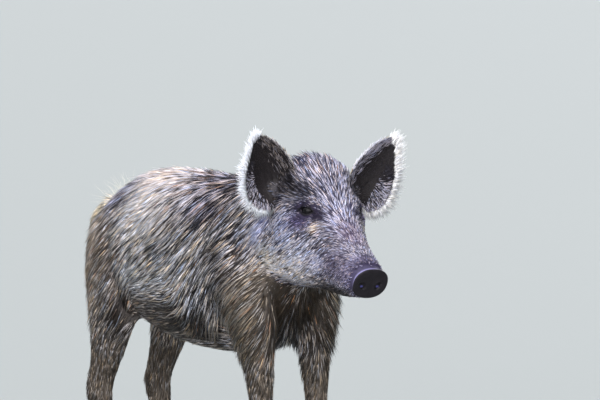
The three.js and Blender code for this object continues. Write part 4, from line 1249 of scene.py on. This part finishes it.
# a painted glint: the sky's violet reflection low in each nostril, on its wet floor
painted_glint = step(1.0, 0.5, np.hypot((np.abs(side) - 14.5) / 3.2, (up + 5.6) / 2.6))
PAINTED = (
    ("#221c31", 0.9 * step(30, 16, np.hypot(along + 2, across * 1.2)) * (out > 0)),  # round the eye
    ("#121016", step(4.2, 1.8, outside) * (out > 4)),  # the lids' edges
    ("#2d2840", 0.8 * step(34, 18, behind)),  # behind the disc
    ("#0a090b", step(14, 13, behind) * (round_disc < 0.78)),  # painted shade inside the nostrils
    # the upper rim is violet skin, painted paler as a highlight where it catches the sky's light
    ("#7f7aa2", step(14, 5, behind) * step(-14, -4, up) * (round_disc > 0.78)),  # the upper rim, a painted highlight
    ("#1d1b1f", step(4.0, 2.0, behind)),  # its face
    ("#484880", painted_glint * (behind > 2) * (behind < 13)),  # a painted glint in the nostrils
)
skin_colour = mix(dark, pale, 0.35 * share)
for code, shown in PAINTED:
    skin_colour = over(skin_colour, code, shown)
ear_colour = np.where(inner[:, None], linear("#211e20"), linear("#2c2624"))
skin_colour = np.where(on_ear[:, None], ear_colour, skin_colour)
paint(skin_mesh, skin_colour)
print("skin, mean colour:", skin_colour.mean(0).round(3))

# %% Skin and leather
skin_mesh.materials.clear()
skin_mesh.materials.append(hide)
skin_mesh.materials.append(nose_leather)
disc_corner = (behind < 13.5) & (round_disc < 1.3)
leather = [all(disc_corner[v] for v in polygon.vertices) for polygon in skin_mesh.polygons]
skin_mesh.polygons.foreach_set("material_index", np.array(leather, np.int32))
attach(skin, "root")
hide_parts(*FLESH)
print("leather faces:", sum(leather))

# %% [markdown]
# ## Eyes
#
# The eyeball is a ball with the cornea's slight dome on it. It sits deep, and the lids cover most of it.

# %% Eyeballs
for side in SIDES:
    work = bmesh.new()
    bmesh.ops.create_uvsphere(work, u_segments=48, v_segments=32, radius=1.0)
    ball = bpy.data.meshes.new(f"eyeball_{side}")
    work.to_mesh(ball)
    work.free()
    unit_points = places(ball)
    turned = np.array(Vector((0, 0, 1)).rotation_difference(Vector(GAZE * MIRROR[side])).to_matrix())
    away = np.degrees(np.arccos(np.clip(unit_points[:, 2], -1, 1)))
    radius = EYE_RADIUS - 0.5 + 0.5 * step(34, 10, away)
    set_places(ball, from_head((unit_points * radius[:, None]) @ turned.T + EYE_AT * MIRROR[side]))
    iris = mix(even("#0b0b0d", unit_points), even("#141416", unit_points), step(13, 17, away))
    iris = mix(iris, even("#0d0c0f", unit_points), step(27, 33, away))
    paint(ball, iris)
    ball.materials.append(wet_eye)
    shade_smooth(ball)
    eyeball = add_object(f"eyeball_{side}", ball)
    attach(eyeball, "root")
    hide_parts(f"eye_{side}")
print("eyeballs:", len(EYES))

# %% [markdown]
# ## Hooves and dew claws
#
# The solids of horn have few facets. Each is remeshed finely and relaxed, its sole is set flat on the
# floor again, and growth rings 0.25 mm deep and 5 mm apart run round it.

# %% Horn pieces
for node in HORN:
    thing = add_object("horn", frame["nodes"][node].data.copy())
    fine = thing.modifiers.new("even_squares", "REMESH")
    fine.mode, fine.voxel_size = "VOXEL", (1.5 if node.startswith("hoof") else 1.1) * MM
    claw = finished(thing)
    before = places(claw)
    relax(claw, 0.5, 10)
    at, facing = places(claw), normals(claw)
    rings = 0.25 * MM * np.sin(at[:, 2] / (0.8 * MM)) * step(0.95, 0.5, np.abs(facing[:, 2]))
    at = at + facing * rings[:, None]
    at[:, 2] = np.where(before[:, 2] < 0.6 * MM, 0.0, np.maximum(at[:, 2], 0))
    set_places(claw, at)
    claw.materials.clear()
    claw.materials.append(horn)
    shade_smooth(claw)
    piece = add_object(f"horn_{node}", claw)
    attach(piece, "root")
    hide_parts(node)
print("horn pieces:", len(HORN))

# %% [markdown]
# ## Sowing the coat
#
# Roots are scattered over the skin by chance, each triangle in proportion to its area and to the
# number of tufts wanted there. The chance has a fixed seed, so every run grows the same coat. Real
# bristles cling together in locks, so each root carries a lock of three tufts.

# %% Random roots on the skin
THINNED = 1.0
skin_mesh.calc_loop_triangles()
skin_triangles = np.empty(len(skin_mesh.loop_triangles) * 3, np.int32)
skin_mesh.loop_triangles.foreach_get("vertices", skin_triangles)
skin_triangles = skin_triangles.reshape(-1, 3)
corner_a, corner_b, corner_c = (skin_at[skin_triangles[:, k]] for k in range(3))
triangle_area = np.linalg.norm(np.cross(corner_b - corner_a, corner_c - corner_a), axis=1) / 2 / MM**2


def sow(many, ways, rng):
    """Roots, facings and lies by chance, for a wanted number per square mm at each corner."""
    wanted = many[skin_triangles].mean(1) * triangle_area * THINNED
    total = np.cumsum(wanted)
    hit = np.searchsorted(total, rng.random(int(total[-1])) * total[-1])
    a, b = rng.random((2, len(hit), 1))
    turn = a + b > 1
    a, b = np.where(turn, 1 - a, a), np.where(turn, 1 - b, b)
    shares = (1 - a - b, a, b)
    root, facing, flow = (
        sum(share * values[skin_triangles[hit, k]] for k, share in enumerate(shares))
        for values in (skin_at, skin_facing, ways)
    )
    facing = unit(facing)
    return root, facing, laid(flow, facing)


print("skin area, square cm:", round(triangle_area.sum() / 100))

# %% Colours of a lock's bristles
RUST = linear("#b58a6c")


def bristle_colours(dark, pale, share, rusty, rng, tint=0.085):
    """
    Root, bend and tip colours: dark roots, and pale or rusty tips on a share of the bristles.
    tint is how far one bristle drifts to warm or cool from the next.
    """
    n = len(dark)
    pale = np.where(rng.random((n, 1)) < rusty[:, None], mix(pale, RUST, rng.uniform(0.5, 1, n)), pale)
    warm = 1 + rng.normal(0, tint, (n, 1)) * [1, 0.1, -1.3]
    is_pale = rng.random(n) < share
    strength = np.where(is_pale, rng.uniform(0.75, 1.0, n), rng.uniform(0.0, 0.06, n))
    light = rng.uniform(0.78, 1.2, n)[:, None] * warm
    root = mix(dark, pale, 0.2 * strength)
    bend = mix(dark, pale, 0.95 * strength) * light
    tip = mix(dark, pale, strength) * light
    return {"root_colour": root, "bend_colour": bend, "tip_colour": tip}


print("rust:", RUST.round(3))

# %% Locks
LOCK = 3  # tufts that cling together in one lock and share its colour
COLOUR_KEYS = ("root_colour", "bend_colour", "tip_colour")


def locks(coat, rng):
    """Each lock becomes a few thin tufts side by side, whose tips close up."""
    count = len(coat["root"]) * LOCK
    coat = {key: np.repeat(values, LOCK, axis=0) for key, values in coat.items()}
    aside = rng.normal(0, 0.32, count) * coat["wide"]
    along = rng.uniform(-0.14, 0.14, count) * coat["long"]
    across = np.cross(coat["facing"], coat["flow"])
    coat["root"] = coat["root"] + (across * aside[:, None] + coat["flow"] * along[:, None]) * MM
    coat["sway"] = coat["sway"] - 0.4 * aside / coat["long"] + rng.normal(0, 0.012, count)
    coat["long"] = coat["long"] * rng.uniform(0.8, 1.15, count)
    coat["lift"] = coat["lift"] * rng.uniform(0.8, 1.2, count)
    light = rng.uniform(0.9, 1.1, count)[:, None]
    for key in COLOUR_KEYS:
        coat[key] = coat[key] * light
    return coat


# %% [markdown]
# ## Body, face, legs and tail
#
# Neighbouring bristles lean together: a slow noise turns the lie by up to about five degrees over a
# few centimetres, and chance adds nearly as much again for each lock.

# %% The coat over the whole skin
rng = np.random.default_rng(SEED)
skin_many = np.where(on_ear | (behind < DISC_THICK), 0, coat_at(skin_at, skin_facing)[3])
skin_lie = smoothed(skin_mesh, lie(skin_at, skin_facing), skin_facing, 24)
root, facing, flow = sow(skin_many / LOCK, skin_lie, rng)
long, wide, lift, _ = coat_at(root, facing)
count = len(root)
turn = 0.08 * waves(root, 0.04, 11) + rng.normal(0, 0.06, count)
flow = unit(flow + np.cross(facing, flow) * turn[:, None])
dark, pale, share, rusty = markings(root)
share = np.clip(share + 0.17 * waves(root, 0.008, 21), 0, 1)
coat = {
    **bristle_colours(dark, pale, share, rusty, rng),
    "root": root, "facing": facing, "flow": flow,
    "long": long * rng.uniform(0.7, 1.25, count),
    "wide": wide * rng.uniform(0.75, 1.3, count) / THINNED**0.5,
    "lift": lift * rng.uniform(0.5, 1.5, count),
    "sway": rng.normal(0, 0.04, count),
}
coat = locks(coat, rng)
root = coat["root"]
print("locks:", count, "tufts:", len(root))

# %% The unwraps of the four coats
def around(across, up):
    """An angle round an axis, from 0 to 1."""
    return np.arctan2(across, up) / (2 * np.pi) + 0.5


def spread(values):
    """Values spread between the edges of the map."""
    low, high = values.min(), values.max()
    return 0.01 + 0.98 * (values - low) / (high - low)


def part_of(coat, chosen, u, v):
    part = {key: values[chosen] for key, values in coat.items()}
    part["unwrapped"] = np.stack([u[chosen], v[chosen]], 1)
    return part


x, y, z = root.T
ahead, left, up = in_head(root).T
on_head_part = head_share(root) > 0.5
on_tail_part = tail_share(root) > 0.5
on_leg_part = (leg_share(root) > 0.5) & ~on_tail_part
on_body_part = ~(on_head_part | on_tail_part | on_leg_part)
body_u, body_v = spread(x), 0.01 + 0.98 * around(y, z - 0.43)
face_u, face_v = spread(np.clip(ahead, -130, 170)), 0.01 + 0.98 * around(left, up + 45)
which_leg = 2 * (x > 0) + (y > 0)
leg_middle = np.array([x[on_leg_part & (which_leg == k)].mean() for k in range(4)])
leg_turn = around(x - leg_middle[which_leg], np.abs(y) - 0.085)
leg_u, leg_v = (which_leg + 0.02 + 0.96 * leg_turn) / 4, spread(np.clip(z, 0, 0.3))
tail_u, tail_v = 0.01 + 0.98 * around(x + 0.42, y - 0.02), spread(np.clip(z, 0.28, 0.53))
print("legs' middles, x:", leg_middle.round(3))

# %% Loose hairs that fan out from the root of the tail
TAIL_ROOT = np.array([-0.370, 0.0, 0.522])
LOOSE_HAIRS = 110
near_tail = np.flatnonzero(np.linalg.norm(root - TAIL_ROOT, axis=1) < 0.024)
picked = rng.choice(near_tail, LOOSE_HAIRS)
loose = part_of(coat, picked, tail_u, np.full(len(root), 0.99))
loose["flow"] = unit(np.array([-0.6, -0.3, 0.45]) + rng.normal(0, 0.42, (LOOSE_HAIRS, 3)))
loose["facing"] = laid(loose["facing"], loose["flow"])
loose["long"], loose["wide"] = rng.uniform(25, 60, LOOSE_HAIRS), rng.uniform(0.3, 0.45, LOOSE_HAIRS)
loose["lift"], loose["sway"] = rng.uniform(0, 0.3, LOOSE_HAIRS), rng.normal(0, 0.3, LOOSE_HAIRS)
for key in COLOUR_KEYS:
    loose[key] = even("#d6d2c0", loose["root"]) * rng.uniform(0.7, 1.1, (LOOSE_HAIRS, 1))
add_coat("coat_tail_loose", loose, bristle)

# %% The pieces of the coat
add_coat("coat_body", part_of(coat, on_body_part, body_u, body_v), bristle)
add_coat("coat_face", part_of(coat, on_head_part, face_u, face_v), bristle)
add_coat("coat_legs", part_of(coat, on_leg_part, leg_u, leg_v), bristle)
add_coat("coat_tail", part_of(coat, on_tail_part, tail_u, tail_v), bristle)

# %% [markdown]
# ## The coat of the ears
#
# The back of the ear has short fur. The inside is nearly bare and dark in its middle, with longer grey
# hair at the rims and pale hairs combed outwards over its outer half. A white fringe stands out from
# the outer rim, the tip, the middle rim and, on the left ear, the lobe, and catches the light. The left
# ear's fringe and rim hairs are painted paler, as lit, and the right's greyer, as shaded. All four
# kinds are placed and combed in the ear's own frame.

# %% Where the hair of an ear grows
def fringe_roots(left, s, up, rng):
    """Most stand on the outer rim, some on the tip, the middle rim and the left ear's lobe."""
    count = len(s)
    where = rng.random(count)
    s = np.where(where < 0.68, 1 - 0.12 * s**2, rng.uniform(-0.5, 1, count))
    up = np.where((where > 0.68) & (where < 0.80), rng.uniform(EAR_TIP - 6, EAR_TIP, count), up)
    s = np.where(where > 0.80, -1 + 0.05 * rng.random(count), s)
    up = np.where(where > 0.80, rng.uniform(6 if left else 22, 82, count), up)
    lobe = (where > 0.93) & left
    s = np.where(lobe, rng.uniform(0.2, 1, count), s)
    up = np.where(lobe, rng.uniform(EAR_FOOT, -17, count), up)
    return s, up, np.where(rng.random(count) < 0.8, -1, 1)


def ear_roots(left, kind, count, rng):
    """How far across and up the blade each root is, and on which face."""
    up = rng.uniform(EAR_FOOT + 2, EAR_TIP - 1, count)
    s = rng.uniform(-1, 1, count)
    if kind == "fringe":
        return fringe_roots(left, s, up, rng)
    if kind == "comb":
        s, up = rng.uniform(0.45, 0.97, count), rng.uniform(-22, 52, count)
    return s, up, np.full(count, -1 if kind == "back" else 1)


print("fringe, 5 roots:", *ear_roots(True, "fringe", 5, np.random.default_rng(SEED))[0].round(2))

# %% Each kind: its way, length, width, lift, dark and pale colour, share of pale
FRINGE_LONGEST = 19  # in mm, so that the fringe stays close to the outline of the solid
TOWARD_TIP = np.array([0, 0, 1.0])


def fringe_hair(left, s, up, here, outwards, rng):
    middle = s < -0.9
    way = outwards + np.array([0, 0.5, 0.0])
    way = way + TOWARD_TIP * (0.55 * step(-15, 20, up) * step(90, 70, up) + 0.6 * middle)[:, None]
    outer_long = 16 + 5 * step(20, 75, up) if left else 17 + 5 * step(45, 80, up)
    long = np.where(middle, 7.0 if left else 4.5, outer_long) * (0.55 + 0.8 * rng.random(len(s)) ** 2)
    long = np.minimum(long, FRINGE_LONGEST)
    wide, lift = np.full(len(s), 0.8 if left else 0.6), rng.uniform(-0.2, 0.3, len(s))
    # painted light: the left ear's fringe and middle rim paler, as lit, the right's greyer, as in shade
    pale = even("#ffffff" if left else "#e6ebf2", here)
    pale = mix(pale, even("#d6d6e2" if left else "#a9a6a4", here), 0.9 * middle)
    return way, long, wide, lift, even("#c2c3cb", here), pale, np.full(len(s), 0.8)


def comb_hair(left, s, up, here, outwards, rng):
    long = np.minimum(13, 4 + to_ear_edge(s, up))
    wide, lift = np.full(len(s), 0.45), rng.uniform(0.05, 0.2, len(s))
    share = (0.34 + 0.25 * step(0.6, 0.9, s)) * step(46, 26, up)
    dark, pale = even("#15121b", here), even("#dcd9ea", here)
    return outwards + TOWARD_TIP * 0.1, long, wide, lift, dark, pale, share


def inside_hair(left, s, up, here, outwards, rng):
    high = step(50, 85, up)
    middle_rim = step(-0.1 + 0.6 * high, -0.75 + 0.5 * high, s)
    outer_rim = step(0.35, 0.85, s) * step(50, 10, up)
    rims = np.maximum(middle_rim, outer_rim)
    way = outwards * (0.1 + outer_rim)[:, None] + TOWARD_TIP * (0.2 + 1.2 * middle_rim)[:, None]
    long = np.minimum(6 + 10 * rims, 3 + to_ear_edge(s, up))
    wide, lift = 0.45 + 0.05 * rims, rng.uniform(0.03, 0.18, len(s))
    # painted light: the left ear's rim hairs paler and more often pale, as lit, the right's greyer, as in
    # shade
    dark, pale = even("#1c191b", here), even("#b9b6c8" if left else "#8d8789", here)
    return way, long, wide, lift, dark, pale, (0.62 if left else 0.36) * rims


def back_hair(left, s, up, here, outwards, rng):
    long, wide, lift = np.full(len(s), 10.0), np.full(len(s), 1.05), rng.uniform(0.08, 0.3, len(s))
    dark, pale = even("#2a221f", here), even("#b3a592", here)
    return TOWARD_TIP + 0.5 * outwards, long, wide, lift, dark, pale, 0.45 + 0.3 * step(0.5, 1, np.abs(s))


def to_ear_edge(s, up):
    """About how far a place on the blade is from its nearer edge or the tip, in mm."""
    return np.where(s < 0, EAR_TIP - up, np.minimum((1 - np.abs(s)) * 34, EAR_TIP - up))


# each kind with its number of locks on the right ear and on the left
EAR_KINDS = {
    "fringe": (fringe_hair, 2100, 3300),
    "comb": (comb_hair, 750, 750),
    "inside": (inside_hair, 1700, 1700),
    "back": (back_hair, 800, 800),
}
print("locks on the ears:", sum(right + left for _, right, left in EAR_KINDS.values()))

# %% Ear fur and fringe
def ear_tufts(side, kind, hair, count, rng):
    """Tufts of one kind on one ear, worked out in the ear's own frame."""
    axes, place = ear_frame(side)
    left, fringe = side == "left", kind == "fringe"
    s, up, face = ear_roots(left, kind, count, rng)
    here = ear_point(s, up, face)
    across = unit(ear_point(s + 0.01, up, face) - here)
    rise = unit(ear_point(s, up + 0.5, face) - here)
    facing = unit(np.cross(rise, across))
    facing = facing * (np.sign(facing[:, 1]) * face)[:, None]
    outwards = unit((here - [22, 0, 20]) * [1, 0, 1])
    way, long, wide, lift, dark, pale, share = hair(left, s, up, here, outwards, rng)
    if fringe:
        facing = laid(facing, unit(way))
    way = laid(way, facing)
    way = unit(way + np.cross(facing, way) * rng.normal(0, 0.2 if fringe else 0.1, count)[:, None])
    colours = bristle_colours(dark, pale, share, np.zeros(count), rng, tint=0.02 if fringe else 0.06)
    if fringe:
        colours["root_colour"] = colours["bend_colour"] * 0.9  # white down to the skin
    turn = axes @ HEAD_AXES
    chart_u = 0.02 + 0.23 * (s + 1) / 2 + 0.25 * (face > 0) + 0.5 * left
    return {
        **colours,
        "root": from_head(here @ axes + place),
        "facing": unit(facing @ turn),
        "flow": unit(way @ turn),
        "long": long * rng.uniform(0.6, 1.25, count),
        "wide": wide * rng.uniform(0.8, 1.3, count) / THINNED**0.5,
        "lift": lift,
        "sway": rng.normal(0, 0.12, count),
        "unwrapped": np.stack([chart_u, 0.03 + 0.94 * (up - EAR_FOOT) / (EAR_TIP - EAR_FOOT)], 1),
    }


rng = np.random.default_rng(SEED + 1)
ears = [
    locks(ear_tufts(side, kind, hair, int(numbers[k] * THINNED), rng), rng)
    for k, side in enumerate(SIDES) for kind, (hair, *numbers) in EAR_KINDS.items()
]
ears = {key: np.concatenate([part[key] for part in ears]) for key in ears[0]}
add_coat("coat_ears", ears, bristle)

# %% The new file's own objects
# a new file's own cube, lamp and camera go, if there are any
for spare in [o for o in bpy.data.objects if o.name in ("Cube", "Light", "Camera")]:
    bpy.data.objects.remove(spare)
